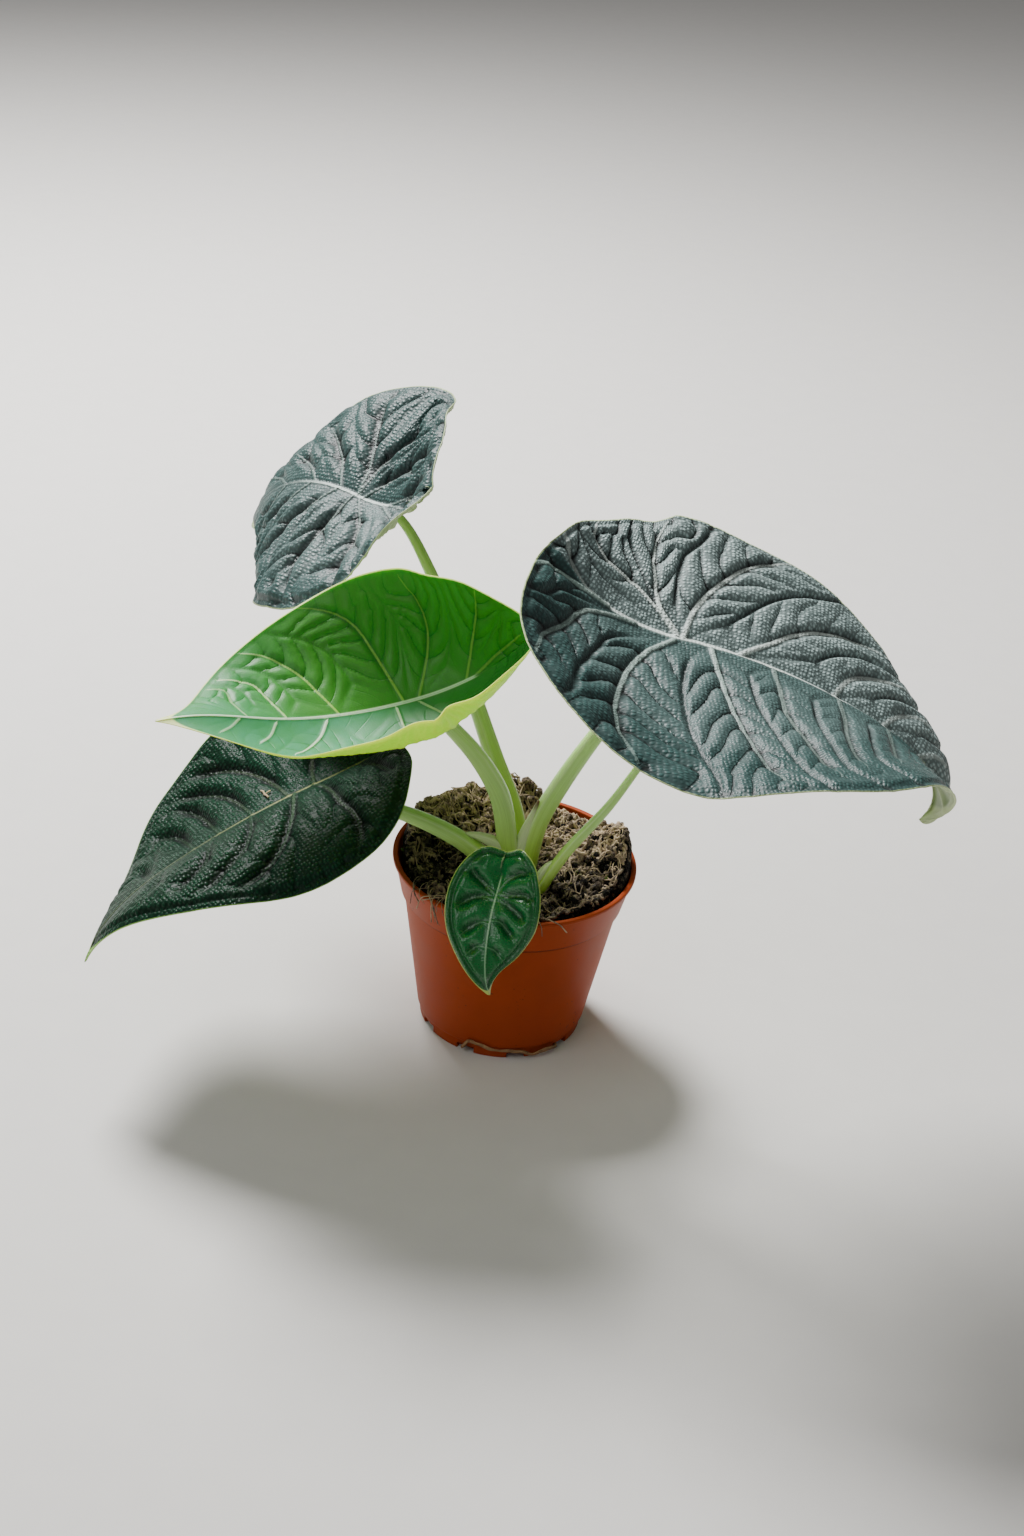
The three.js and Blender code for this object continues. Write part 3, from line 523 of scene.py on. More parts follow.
def bend(blade, x, y):
    """Where places of the flat blade lie once it is bent: along its midrib, then each half."""
    length = blade["length"]
    u = x / length
    v = np.abs(y) / length
    ahead, tip, behind = np.radians(blade["droop"])
    hook = math.radians(blade["hook"])

    def drop(s):
        near_tip = tip * np.maximum(0, s - 0.55) ** 2 / 0.45
        at_tip = hook * np.maximum(0, s - 0.82) ** 2 / 0.18 ** 2
        return np.where(s > 0, ahead * s + near_tip + at_tip, behind * s)

    steps = (np.arange(BEND_STEPS) + 0.5) / BEND_STEPS
    angles = drop(u[:, None] * steps)
    along = np.cos(angles).mean(axis=1) * x
    height = -np.sin(angles).mean(axis=1) * x
    angle = drop(u)
    left = 0.5 + 0.5 * np.tanh(y / (CREASE * length))
    start, power = blade["tip_ramp"]
    near_tip = np.clip((u - start) / (0.96 - start), 0, 1) ** power
    fold = by_half(blade["fold"], left) + blade["fold_twist"] * u
    fold = np.radians(fold + near_tip * blade["tip_fold"] * left)
    curl = np.radians(by_half(blade["curl"], left) + near_tip * by_half(blade["tip_curl"], left))
    curl = np.where(np.abs(curl) < 1e-4, 1e-4, curl)
    out = (np.sin(fold + curl * v) - np.sin(fold)) / curl * length * np.sign(y)
    lift = (np.cos(fold) - np.cos(fold + curl * v)) / curl * length
    twist = math.radians(blade["twist"]) * np.maximum(u, 0)
    across = out * np.cos(twist) - lift * np.sin(twist)
    up = out * np.sin(twist) + lift * np.cos(twist)
    return np.stack([along + np.sin(angle) * up, across, height + np.cos(angle) * up], axis=1)


def line_distance(points, x, y):
    """Distance from places to a line of points, how far along it they are, and on which side."""
    nearest = np.full(len(x), FAR)
    reached = np.zeros(len(x))
    side = np.ones(len(x))
    walked = 0
    for (ax, ay), (bx, by) in zip(points[:-1], points[1:]):
        size = math.hypot(bx - ax, by - ay)
        dx, dy = (bx - ax) / size, (by - ay) / size
        share = np.clip((x - ax) * dx + (y - ay) * dy, 0, size)
        gap = np.hypot(x - ax - dx * share, y - ay - dy * share)
        closer = gap < nearest
        nearest = np.where(closer, gap, nearest)
        reached = np.where(closer, walked + share, reached)
        side = np.where(closer, np.sign(dx * (y - ay) - dy * (x - ax)), side)
        walked += size
    return nearest, reached, side


def side_veins(name, blade):
    """A blade's side veins, each with its paleness, as smooth lines in millimetres."""
    lines = VEINS.get(name)
    if lines is None:
        share = np.linspace(0, 1, 7)
        lines = [
            (PLAIN_PALENESS, np.array([start + lean * share + sweep * share ** 2, half * (0.01 + reach * share)]).T)
            for half in (1, -1) for start, reach, lean, sweep in PLAIN_VEINS
        ]
    return [(pale, smooth_route(line, 14) * blade["length"]) for pale, line in lines]


def ease(value, low, high):
    """Runs smoothly from 0 at low to 1 at high."""
    share = np.clip((value - low) / (high - low), 0, 1)
    return share * share * (3 - 2 * share)


def near_veins(name, blade, x, y):
    """The veins near places on a blade: the nearest two, how the nearest one runs, and the nearest side vein."""
    length = blade["length"]
    midrib, reached, side = line_distance([(MIDRIB_START * length, 0), (length, 0)], x, y)
    near = dict(
        midrib=midrib, first=midrib.copy(), second=np.full(len(x), FAR), run=reached.copy(),
        key=np.where(side > 0, 0.0, 0.4), sunk=np.ones(len(x)), gap=np.full(len(x), FAR),
        gap_run=np.zeros(len(x)), pale=np.zeros(len(x)), parity=np.ones(len(x)),
    )
    for number, (pale, line) in enumerate(side_veins(name, blade)):
        other_half = y * line[-1][1] < 0
        gap, reached, side = line_distance(line, x, y)
        gap = np.where(other_half, FAR, gap)
        near["parity"] *= np.where(other_half, 1, side)
        closest = gap < near["first"]
        near["second"] = np.where(closest, near["first"], np.minimum(near["second"], gap))
        near["run"] = np.where(closest, reached, near["run"])
        # A side vein's groove and rib fade out at its end
        size = np.linalg.norm(np.diff(line, axis=0), axis=1).sum()
        near["sunk"] = np.where(closest, ease(size - reached, 0, 0.12 * length), near["sunk"])
        near["key"] = np.where(closest, 1 + 0.37 * number + 0.25 * side, near["key"])
        near["first"] = np.minimum(near["first"], gap)
        closest_side = gap < near["gap"]
        near["gap_run"] = np.where(closest_side, reached, near["gap_run"])
        near["pale"] = np.where(closest_side, pale, near["pale"])
        near["gap"] = np.minimum(gap, near["gap"])
    return near


def leaf_fields(name, blade, x, y):
    """Relief and markings of a blade at places on it, all distances in millimetres."""
    length = blade["length"]
    near = near_veins(name, blade, x, y)
    midrib, first, key, sunk = near["midrib"], near["first"], near["key"], near["sunk"]
    edge_x, edge_y = outline(blade, np.linspace(-np.pi, np.pi, RIM_STEPS + 1))
    rim, _, _ = line_distance(np.stack([edge_x, edge_y], axis=1) * length, x, y)
    edge_turn = np.arctan2(edge_y, edge_x)
    reach = np.interp(np.arctan2(y, x), edge_turn, np.hypot(edge_x, edge_y) * length, period=math.tau)
    share = np.clip(np.hypot(x, y) / reach, 0, 1)
    left = ease(y, -2, 2)

    # Cross grooves leave a vein squarely and sweep outwards
    groove, valley = blade["groove"], blade["valley"]
    deep = ease(midrib / length, 0.02, 0.16)
    wobble = np.sin(x / 7.3 + y / 5.1 + key * 9) + 0.7 * np.sin(x / 4.1 - y / 6.3 + key * 5)
    middle = (near["second"] - first) / 2
    bow = 0.3 * first + 0.07 * np.where(first < BOW_END, first ** 2, 2 * BOW_END * first - BOW_END ** 2)
    phase = (near["run"] - bow) / blade["ladder"] + key * 1.7 + 0.08 * wobble
    rung = np.sin(np.pi * phase)
    apart = 1 - np.exp(-(middle / (1.5 * groove)) ** 2)

    # Pillows: high between the veins, cut by a groove along each vein, by the seams halfway between two veins, by the
    # cross grooves and their fine creases, and by a furrow inside the rim, all deeper far from the midrib
    on_midrib = midrib <= first
    bed = np.where(on_midrib, 0.6, 0.6 - 0.35 * deep)
    width = valley * np.where(on_midrib, 1.2, 1)
    field = bed + (1 - bed) * (1 - sunk * np.exp(-(first / width) ** 2))
    field *= 1 - blade["seam"] * (0.3 + 0.35 * deep) * np.exp(-(middle / groove) ** 2)
    cross = blade["cross"] * (0.15 + 0.6 * deep) * (1 - blade["even_tip"] * ease(x / length, 0, 0.6))
    field *= 1 - cross * apart * (1 - np.abs(rung) ** 0.5)
    crease = 1 - np.abs(np.sin(np.pi * (phase * 3.3 + 0.3 * wobble)))
    field *= 1 - 0.055 * crease ** 2 * apart * (0.3 + 0.7 * deep)
    field *= 1 - 0.35 * np.exp(-((rim - 1.1 * valley) / groove) ** 2)
    calm = 0.1 + 0.9 * ease(rim, 0, blade["calm"])
    height = blade["relief"] * by_half(blade["puffed"], left) * (field - 0.5) * (0.4 + 0.6 * deep) * calm
    height += blade["wave"] * np.sin(np.arctan2(y, x) * 9 + length) * share ** 5

    # Raised pale veins: each is thinner and less pale further from its start
    midrib_half = blade["vein"] * 1.5 * (1 - 0.65 * np.clip(x / length, 0, 1))
    height += 0.35 * blade["vein"] * np.exp(-(midrib / midrib_half) ** 2)
    thin_out = 1 - 0.5 * np.clip(near["gap_run"] / (0.55 * length), 0, 1)
    fading = near["pale"] * (1 - 0.6 * ease(near["gap_run"] / length, 0.15, 0.65))
    vein_half = blade["vein"] * thin_out
    height += 0.35 * blade["relief"] * fading * calm * np.exp(-(near["gap"] / vein_half) ** 2)
    lasting = 1 - (1 - blade["midrib_end"]) * ease(np.abs(x) / length, 0.1, 0.6)

    waxed = by_half(blade["tip_from"], left)
    bloom = by_half(blade["bloom"], left) + blade["tip_bloom"] * ease(x / length, waxed, waxed + 0.5)
    # Painted shade: the bloom darkens towards the edge, where the margin curves away from the light
    bloom = bloom - by_half(blade["rim_shade"], left) * ease(share, 0.62, 1)
    return dict(
        height=height, ridge=field, rung=rung, cut_near=apart * cross * calm * 1.3, rim_gap=rim,
        side_vein=near["parity"] * near["gap"] / vein_half, vein_near=np.clip(2.4 - near["gap"], 0, 1) * fading,
        midrib=y / midrib_half, midrib_near=np.clip(0.5 + (x - MIDRIB_START * length) / 3, 0, 1) * lasting,
        bloom=np.clip(bloom, 0, 1), smooth=by_half(blade["smooth"], left),
        rib=sunk * np.exp(-(first / (1.5 * blade["vein"])) ** 2) * (1 - 0.5 * share) * ease(rim, 0, 7),
    )


def build_leaf(name, materials):
    """A leaf blade: a grid shaped to the outline, bent, embossed and given its thickness."""
    blade = BLADES[name]
    bm = bmesh.new()
    layers = [bm.verts.layers.float.new(field) for field in LEAF_MARKINGS]
    weights = bm.verts.layers.deform.verify()
    flat = bm.loops.layers.uv.new("flat")
    made = bmesh.ops.create_grid(bm, x_segments=blade["rows"], y_segments=blade["columns"], size=0.5)["verts"]
    grid = np.array([v.co for v in made])
    x, y = flat_places(blade, grid[:, 0] + 0.5, grid[:, 1] * 2)
    fields = leaf_fields(name, blade, x, y)
    here = bend(blade, x, y)
    normal = np.cross(bend(blade, x + 0.5, y) - here, bend(blade, x, y + 0.5) - here)
    normal /= np.linalg.norm(normal, axis=1)[:, None]
    place = here + normal * (fields["height"] + blade["thick"] / 2)[:, None]
    turn = Matrix.Rotation(math.radians(blade["heading"]), 3, "Z")
    turn @= Matrix.Rotation(-math.radians(blade["rise"]), 3, "Y")
    turn @= Matrix.Rotation(math.radians(blade["bank"]), 3, "X")
    place = (place @ np.array(turn).T + np.array(blade["at"])) * MM

    thin_edge = 0.45 + 0.55 * np.clip(fields["rim_gap"] / 2.5, 0, 1)
    body = thin_edge * (0.4 + 0.6 * fields["rib"])
    # The margin's colour spreads over the last few millimetres of the tip
    fields["rim_gap"] = fields["rim_gap"] * (1 - 0.97 * ease(x / blade["length"], *TIP_MARGIN))
    columns = [fields[field] for field in LEAF_MARKINGS]
    bm.verts.index_update()
    for i, vert in enumerate(made):
        vert.co = place[i]
        vert[weights][0] = body[i]
        for layer, column in zip(layers, columns):
            vert[layer] = column[i]
    for face in bm.faces:
        for loop in face.loops:
            i = loop.vert.index
            loop[flat].uv = (x[i] / FLAT_SIDE + 0.5, y[i] / FLAT_SIDE + 0.5)
    bmesh.ops.remove_doubles(bm, verts=bm.verts, dist=1e-6)

    piece = finish_piece(bm, name + "_leaf", materials, ["blade_" + name])
    piece.vertex_groups.new(name="thickness")
    solid = piece.modifiers.new("thickness", "SOLIDIFY")
    solid.thickness = blade["thick"] * RIB_THICKNESS * MM
    solid.offset = -1
    solid.vertex_group = "thickness"
    solid.material_offset = 1
    solid.material_offset_rim = 1
    return piece


def leaf_top_material(name, colours, grain, depth, rough, glow, edge, shine):
    """Upper face of a leaf: waxy pillows, grooves in painted shade, pale veins, a fine grain of domes and a thin
    margin.
    """
    material, add, shader = new_material(name)
    bloom_colour, skin_colour, groove_shade_colour, vein_colour, bare_vein_colour, margin_colour = colours
    read = {field: add("Attribute", output="Fac", attribute_name=field) for field in LEAF_MARKINGS}
    flat = add("UVMap", uv_map="flat")
    clouds = add("TexNoise", {"Vector": flat, "Scale": 16, "Detail": 5, "Roughness": 0.6})
    patches = add("MapRange", (clouds, 0.35, 0.65, 0.75, 1.1))
    wax = add("Math", (read["bloom"], patches), operation="MULTIPLY", **CLAMP)
    # Domes of the grain are about 1 mm across, and drawn wider so that the picture can show them
    domes = {"Vector": flat, "Scale": FLAT_SIDE / grain, "Smoothness": 0.2, "Randomness": 0.45}
    dome = add("MapRange", (add("TexVoronoi", domes, feature="SMOOTH_F1"), 0.1, 0.6, 1, 0), **SMOOTH)
    dome = add("Mix", {0: read["smooth"], 2: dome, 3: 0.75}, data_type="FLOAT")
    skin = add("Mix", {0: wax, 6: skin_colour, 7: bloom_colour}, 2, **RGBA)
    # Painted shade: the grooves along the veins and the cross grooves are darkened towards the valley colour
    cut = add("MapRange", (add("Math", (read["rung"],), operation="ABSOLUTE"), 0.02, 0.2, 1, 0), **SMOOTH)
    cut = add("Math", (cut, read["cut_near"]), operation="MULTIPLY")
    high = add("MapRange", (read["ridge"], 0.18, 0.84), **SMOOTH)
    high = add("Math", (cut, -0.55, high), operation="MULTIPLY_ADD", **CLAMP)
    body = add("Mix", {0: high, 6: groove_shade_colour, 7: skin}, 2, **RGBA)
    grained = add("MapRange", (dome, 0, 1, 1 - 0.65 * depth, 1 + 0.3 * depth))
    body = add("VectorMath", {0: body, "Scale": grained}, operation="SCALE")
    lines = []
    for line, gate in (("side_vein", "vein_near"), ("midrib", "midrib_near")):
        mask = add("MapRange", (add("Math", (read[line],), operation="ABSOLUTE"), 0.5, 1.3, 1, 0), **SMOOTH)
        lines.append(add("Math", (mask, read[gate]), operation="MULTIPLY", **CLAMP))
    vein = add("Math", lines, operation="MAXIMUM")
    # A fine dark seam runs along the midrib
    seam = add("Math", (read["midrib"], 0.2, 0.13), operation="COMPARE")
    pale = add("Math", (seam, -0.45, vein), operation="MULTIPLY_ADD", **CLAMP)
    waxed = add("Math", (lines[1], 0.6, wax), operation="MULTIPLY_ADD", **CLAMP)
    vein_tint = add("Mix", {0: waxed, 6: bare_vein_colour, 7: vein_colour}, 2, **RGBA)
    body = add("Mix", {0: pale, 6: body, 7: vein_tint}, 2, **RGBA)
    margin = add("MapRange", (read["rim_gap"], 0.3 * edge, edge, 1, 0), **SMOOTH)
    body = add("Mix", {0: margin, 6: body, 7: margin_colour}, 2, **RGBA)
    bumps = add("Math", (vein, 0.7, dome), operation="MULTIPLY_ADD")
    bumps = add("Math", (cut, -0.8 / depth, bumps), operation="MULTIPLY_ADD")
    connect(shader, {
        "Base Color": body, "Roughness": add("MapRange", (dome, 0, 1, rough + 0.18, rough)),
        "Normal": add("Bump", {"Height": bumps, "Strength": 1, "Distance": 0.24 * grain * depth * MM}),
        "Specular IOR Level": shine, "Subsurface Weight": glow, "Subsurface Radius": (0.6, 1, 0.3),
        "Subsurface Scale": 2.5 * MM,
    })
    return material


def leaf_under_material(name, colour, rib_colour, glow):
    """Underside of a leaf: matt, paler along the raised ribs; light glows through a thin one."""
    material, add, shader = new_material(name)
    ridge, rim_gap = (add("Attribute", output="Fac", attribute_name=field) for field in ("ridge", "rim_gap"))
    flat = add("UVMap", uv_map="flat")
    speck = add("TexNoise", {"Vector": flat, "Scale": 90, "Detail": 6, "Roughness": 0.65})
    body = add("Mix", {0: ridge, 6: rib_colour, 7: colour}, 2, **RGBA)
    edge = add("MapRange", (rim_gap, 0.4, 1.6, 1, 0), **SMOOTH)
    body = add("Mix", {0: edge, 6: body, 7: rib_colour}, 2, **RGBA)
    tone = add("MapRange", (speck, 0, 1, 0.85, 1.15))
    connect(shader, {
        "Base Color": add("VectorMath", {0: body, "Scale": tone}, operation="SCALE"), "Roughness": 0.55,
        "Normal": add("Bump", {"Height": speck, "Strength": 0.25, "Distance": 0.2 * MM}),
        "Subsurface Weight": glow, "Subsurface Radius": (0.8, 1, 0.2), "Subsurface Scale": 4 * MM,
    })
    return material


def stalk_section(groove, shoulder, length):
    """Radius of a stalk round it: a channel along its inner face between two raised edges, fading upwards."""
    def section(turn, share):
        angle = np.abs(turn)
        low = 1 - np.clip(share / length, 0, 1) ** 1.5
        channel = np.exp(-(angle / 0.45) ** 2)
        edges = np.exp(-((angle - EDGE_TURN) / 0.22) ** 2)
        return 1 - channel * (groove * 0.45 + groove * low) + edges * shoulder * (0.2 + low)
    return section


def new_stalks():
    """An empty bmesh with the markings that the stalks' materials read."""
    bm = bmesh.new()
    bm.verts.layers.float.new("along")
    bm.verts.layers.float.new("edge")
    bm.loops.layers.uv.new("wrap")
    return bm


def add_stalk(bm, stalk, groove, shoulder, length, rows=70, sides=36, stop=1.0):
    """Adds a stalk, with how far up it each place is and how near its pale edges."""
    route = smooth_route(stalk["route"], STALK_STEPS)[:int(STALK_STEPS * stop)]
    route = route[np.linspace(0, len(route) - 1, rows).astype(int)]
    radii = np.interp(np.linspace(0, 1, rows), (0, 0.5, 1), stalk["radius"])
    lean = np.array(stalk["route"][-1]) - np.array(stalk["route"][0])
    lean[2] = 0
    lean /= np.linalg.norm(lean)
    add_unit_tube(bm, rows, sides)
    bm.verts.index_update()
    verts = bm.verts[:]
    unit = np.array([v.co for v in verts])
    along, edge = (bm.verts.layers.float.get(field) for field in ("along", "edge"))
    for vert, (row, front, side) in zip(verts, unit):
        vert[along] = row / rows
        vert[edge] = math.exp(-((abs(math.atan2(side, front)) - EDGE_TURN) / 0.17) ** 2)
    wrap = bm.loops.layers.uv.get("wrap")
    for skin in bm.faces:
        for loop in skin.loops:
            row, front, side = unit[loop.vert.index]
            loop[wrap].uv = (row / rows, abs(math.atan2(side, front)) / math.pi)
    lay_tube(verts, unit, route, radii, np.array((0, 0, 1)) - 0.6 * lean, stalk_section(groove, shoulder, length))


def stalk_material(name, foot, body, edge, tip):
    """Petiole skin: smooth, moist and ribbed lengthwise, yellower at the foot and paler at its edges."""
    material, add, shader = new_material(name)
    along, edges = (add("Attribute", output="Fac", attribute_name=field) for field in ("along", "edge"))
    stretched = add("Mapping", {"Vector": add("UVMap", uv_map="wrap"), "Scale": (3, 42, 1)})
    streaks = add("TexNoise", {"Vector": stretched, "Scale": 1, "Detail": 4, "Roughness": 0.6})
    rise = add("MapRange", (along, 0.08, 0.5), **SMOOTH)
    colour = add("Mix", {0: rise, 6: foot, 7: body}, 2, **RGBA)
    dried = add("MapRange", (along, 0.86, 1), **SMOOTH)
    colour = add("Mix", {0: dried, 6: colour, 7: tip}, 2, **RGBA)
    pale = add("Math", (edges, 0.35), operation="MULTIPLY")
    colour = add("Mix", {0: pale, 6: colour, 7: edge}, 2, **RGBA)
    tone = add("MapRange", (streaks, 0.3, 0.7, 0.82, 1.15))
    connect(shader, {
        "Base Color": add("VectorMath", {0: colour, "Scale": tone}, operation="SCALE"), "Roughness": 0.34,
        "Normal": add("Bump", {"Height": streaks, "Strength": 0.35, "Distance": 0.25 * MM}),
        "Subsurface Weight": 0.25, "Subsurface Radius": (0.7, 1, 0.3), "Subsurface Scale": 2 * MM,
    })
    return material


def soil_height(settings, x, y):
    """Height of the soil's face in millimetres, before its crumbs."""
    z = settings.level / MM
    for angle, away, height, spread in HEAPS:
        heap_x, heap_y = polar(away, math.radians(angle))
        z += height * math.exp(-((x - heap_x) ** 2 + (y - heap_y) ** 2) / spread ** 2)
    z += 1.1 * math.sin(x * 0.42 + 1.3) * math.cos(y * 0.37 - 0.6) + 0.66 * math.sin(x * 0.9 - y * 0.7)
    return z


def rough_height(settings, x, y):
    """Soil height with its clods and pits."""
    spot = Vector((x, y, 0))
    z = soil_height(settings, x, y) + 2.6 * noise.fractal(spot * 0.16, 0.8, 2.1, 5)
    return z - (1.5 * noise.turbulence(spot * 0.33, 3, False) - 0.5)


def soil_radius(z):
    """Radius of the soil by the pot's wall at a height."""
    return np.interp(z, WALL_HEIGHTS, WALL_RADII) - WALL_GAP


def dryness(x, y):
    """How dry the soil's face is: pale heaps at the back and right, black peat in front."""
    return float(ease(y + 0.35 * x, -16, 16))


def random_spot(rng, radius):
    """A place on a disc, drawn evenly."""
    away = radius * math.sqrt(rng.random())
    return polar(away, rng.random() * math.tau)


def random_tone(rng, middle, spread):
    """A tone from 0 to 1, drawn around a middle one."""
    return min(1, max(0, rng.gauss(middle, spread)))


def soil_material(name, dark, light):
    """Peat and coir: matt, near black between crumbs and tan on dry fibre."""
    material, add, shader = new_material(name)
    place = add("TexCoord", output="Object")
    tone = add("Attribute", output="Fac", attribute_name="tone")
    # Crumbs of peat are 0.5 to 3 mm
    crumbs = add("TexNoise", {"Vector": place, "Scale": 420, "Detail": 8, "Roughness": 0.7})
    grains = add("TexVoronoi", {"Vector": place, "Scale": 900}, feature="F1")
    spread = add("MapRange", (crumbs, 0.42, 0.68, -0.35, 0.35), **SMOOTH)
    mixed = add("Math", (tone, spread), operation="ADD", **CLAMP)
    height = add("Math", (crumbs, grains), operation="ADD")
    connect(shader, {
        "Base Color": add("Mix", {0: mixed, 6: dark, 7: light}, 2, **RGBA), "Roughness": 0.95,
        "Normal": add("Bump", {"Height": height, "Strength": 0.9, "Distance": 0.8 * MM}),
        "Specular IOR Level": 0.2,
    })
    return material


def pot_material(name, colour):
    """Injection-moulded polypropylene: satin, a little blotchy, scuffed and dusted with soil."""
    material, add, shader = new_material(name)
    place = add("TexCoord", output="Object")
    blotch = add("TexNoise", {"Vector": place, "Scale": 22, "Detail": 6, "Roughness": 0.6})
    tone = add("MapRange", (blotch, 0.3, 0.7, 0.86, 1.1))
    body = add("VectorMath", {0: colour[:3], "Scale": tone}, operation="SCALE")
    # Specks of dried soil, 0.3 to 1 mm
    dust = add("TexNoise", {"Vector": place, "Scale": 650, "Detail": 3, "Roughness": 0.5})
    patch = add("TexNoise", {"Vector": place, "Scale": 40, "Detail": 3, "Roughness": 0.5})
    total = add("Math", (patch, 0.35, dust), operation="MULTIPLY_ADD")
    speck = add("MapRange", (total, 0.885, 0.93), **SMOOTH)
    body = add("Mix", {0: speck, 6: body, 7: linear("#4a2a1c")}, 2, **RGBA)
    # Painted shade: the colour is darkened in the corner under the rim band
    height = add("SeparateXYZ", (place,), "Z")
    corner = add("Math", (height, STEP_HEIGHT * MM), operation="SUBTRACT")
    corner = add("Math", (corner,), operation="ABSOLUTE")
    shade = add("MapRange", (corner, 0.3 * MM, 1.3 * MM, 0.3, 1), **SMOOTH)
    fine = add("TexNoise", {"Vector": place, "Scale": 300, "Detail": 4, "Roughness": 0.6})
    connect(shader, {
        "Base Color": add("VectorMath", {0: body, "Scale": shade}, operation="SCALE"),
        "Roughness": add("MapRange", (blotch, 0.3, 0.7, 0.44, 0.6)),
        "Normal": add("Bump", {"Height": fine, "Strength": 0.12, "Distance": 0.2 * MM}),
        "Specular IOR Level": 0.14,
    })
    return material


def root_material(name, pale, brown):
    """Root and coir fibre: dry, pale with brown patches."""
    material, add, shader = new_material(name)
    place = add("TexCoord", output="Object")
    tone = add("Attribute", output="Fac", attribute_name="tone")
    patches = add("TexNoise", {"Vector": place, "Scale": 260, "Detail": 5, "Roughness": 0.6})
    spread = add("MapRange", (patches, 0.35, 0.65, -0.3, 0.3))
    mixed = add("Math", (tone, spread), operation="ADD", **CLAMP)
    connect(shader, {
        "Base Color": add("Mix", {0: mixed, 6: brown, 7: pale}, 2, **RGBA), "Roughness": 0.75,
        "Normal": add("Bump", {"Height": patches, "Strength": 0.5, "Distance": 0.3 * MM}),
    })
    return material


class PlantLeaves(bpy.types.PropertyGroup):
    grey_bloom: colour_property("Grey bloom", "Silvery wax on the two grey leaves", "#a3b8b4")
    grey_skin: colour_property("Grey skin", "Skin of the grey leaves under the wax", "#31504c")
    # Painted shade in the grooves of the grey leaves
    grey_valley: colour_property("Grey valley", "Grooves of the two grey leaves", "#0c1613")
    grey_vein: colour_property("Grey vein", "Pale veins of the grey leaves", "#dfeae2")
    grey_under: colour_property("Grey underside", "Underside of the grey leaves", "#7f9468")
    # Painted sheen: the young leaf's minty bloom stands for reflected light
    bright_bloom: colour_property("Young bloom", "Minty wax on the young leaf", "#419464")
    bright_skin: colour_property("Young skin", "Skin of the young leaf", "#34820d")
    # Painted shade in the grooves of the young leaf
    bright_valley: colour_property("Young valley", "Grooves of the young leaf", "#1f7412")
    bright_vein: colour_property("Young vein", "Veins of the young leaf", "#dcf2d0")
    bright_under: colour_property("Young underside", "Underside of the young leaf", "#a8dc1e")
    dark_bloom: colour_property("Dark bloom", "Thin wax on the dark left leaf", "#285a46")
    dark_skin: colour_property("Dark skin", "Skin of the dark left leaf", "#0d3420")
    # Painted shade in the grooves of the dark leaf
    dark_valley: colour_property("Dark valley", "Grooves of the dark left leaf", "#060f0b")
    dark_vein: colour_property("Dark vein", "Veins of the dark left leaf", "#a09c6c")
    dark_under: colour_property("Dark underside", "Underside of the dark leaf", "#5f7a4f")
    small_bloom: colour_property("Small bloom", "Raised parts of the small leaves", "#0f8a42")
    small_skin: colour_property("Small skin", "Skin of the small leaves", "#06521f")
    # Painted shade in the grooves of the small leaves
    small_valley: colour_property("Small valley", "Grooves of the small leaves", "#06461e")
    small_vein: colour_property("Small vein", "Veins of the small leaves", "#9cc49a")
    margin: colour_property("Margin", "Thin pale edge of every leaf", "#b7c98f")
    grain: FloatProperty(
        name="Grain", description="Width of the fine domes on the grey leaves", default=1.7 * MM,
        min=0.3 * MM, max=3 * MM, unit="LENGTH",
    )


class PlantStalks(bpy.types.PropertyGroup):
    body: colour_property("Stalk", "Skin of the petioles", "#b0dc7c")
    foot: colour_property("Stalk foot", "Skin of the petioles near the soil", "#b4d852")
    edge: colour_property("Stalk edge", "Pale edges of the petioles", "#e8f3cc")
    sheath: colour_property("Sheath", "Papery sheaths at the foot", "#cbdca6")
    groove: FloatProperty(
        name="Channel", description="Depth of the channel along a petiole, as a share of its radius",
        default=0.09, min=0, max=0.5,
    )


class PlantSoil(bpy.types.PropertyGroup):
    level: FloatProperty(
        name="Level", description="Height of the soil between its heaps", default=79.5 * MM, unit="LENGTH",
    )
    crumbs: IntProperty(name="Crumbs", description="Loose crumbs on the soil", default=1100, min=0)
    bits: IntProperty(name="Coir bits", description="Short curled pieces of coir", default=1500, min=0)
    fibres: IntProperty(name="Fibres", description="Long thin fibres", default=300, min=0)
    dark: colour_property("Peat", "Wet peat between the crumbs", "#0d0907")
    light: colour_property("Coir", "Dry coir and crumbs", "#a4907c")


class PlantPot(bpy.types.PropertyGroup):
    height: FloatProperty(name="Height", description="Height of the pot", default=81 * MM, unit="LENGTH")
    lip_radius: FloatProperty(name="Lip radius", description="Radius of the lip", default=52.5 * MM, unit="LENGTH")
    foot_radius: FloatProperty(name="Foot radius", description="Radius of the foot", default=35.8 * MM, unit="LENGTH")
    wall: FloatProperty(name="Wall", description="Thickness of the wall", default=1.2 * MM, unit="LENGTH")
    steps: IntProperty(name="Steps", description="Steps round the pot", default=150, min=12)
    colour: colour_property("Plastic", "Terracotta-coloured plastic", "#a23f13")


class PlantStage(bpy.types.PropertyGroup):
    floor: colour_property("Floor", "Plain pale floor", "#dcd9d4")
    key_power: FloatProperty(name="Key light", description="Large light above and behind", default=66, unit="POWER")
    fill_power: FloatProperty(name="Fill light", description="Large light in front", default=7, unit="POWER")


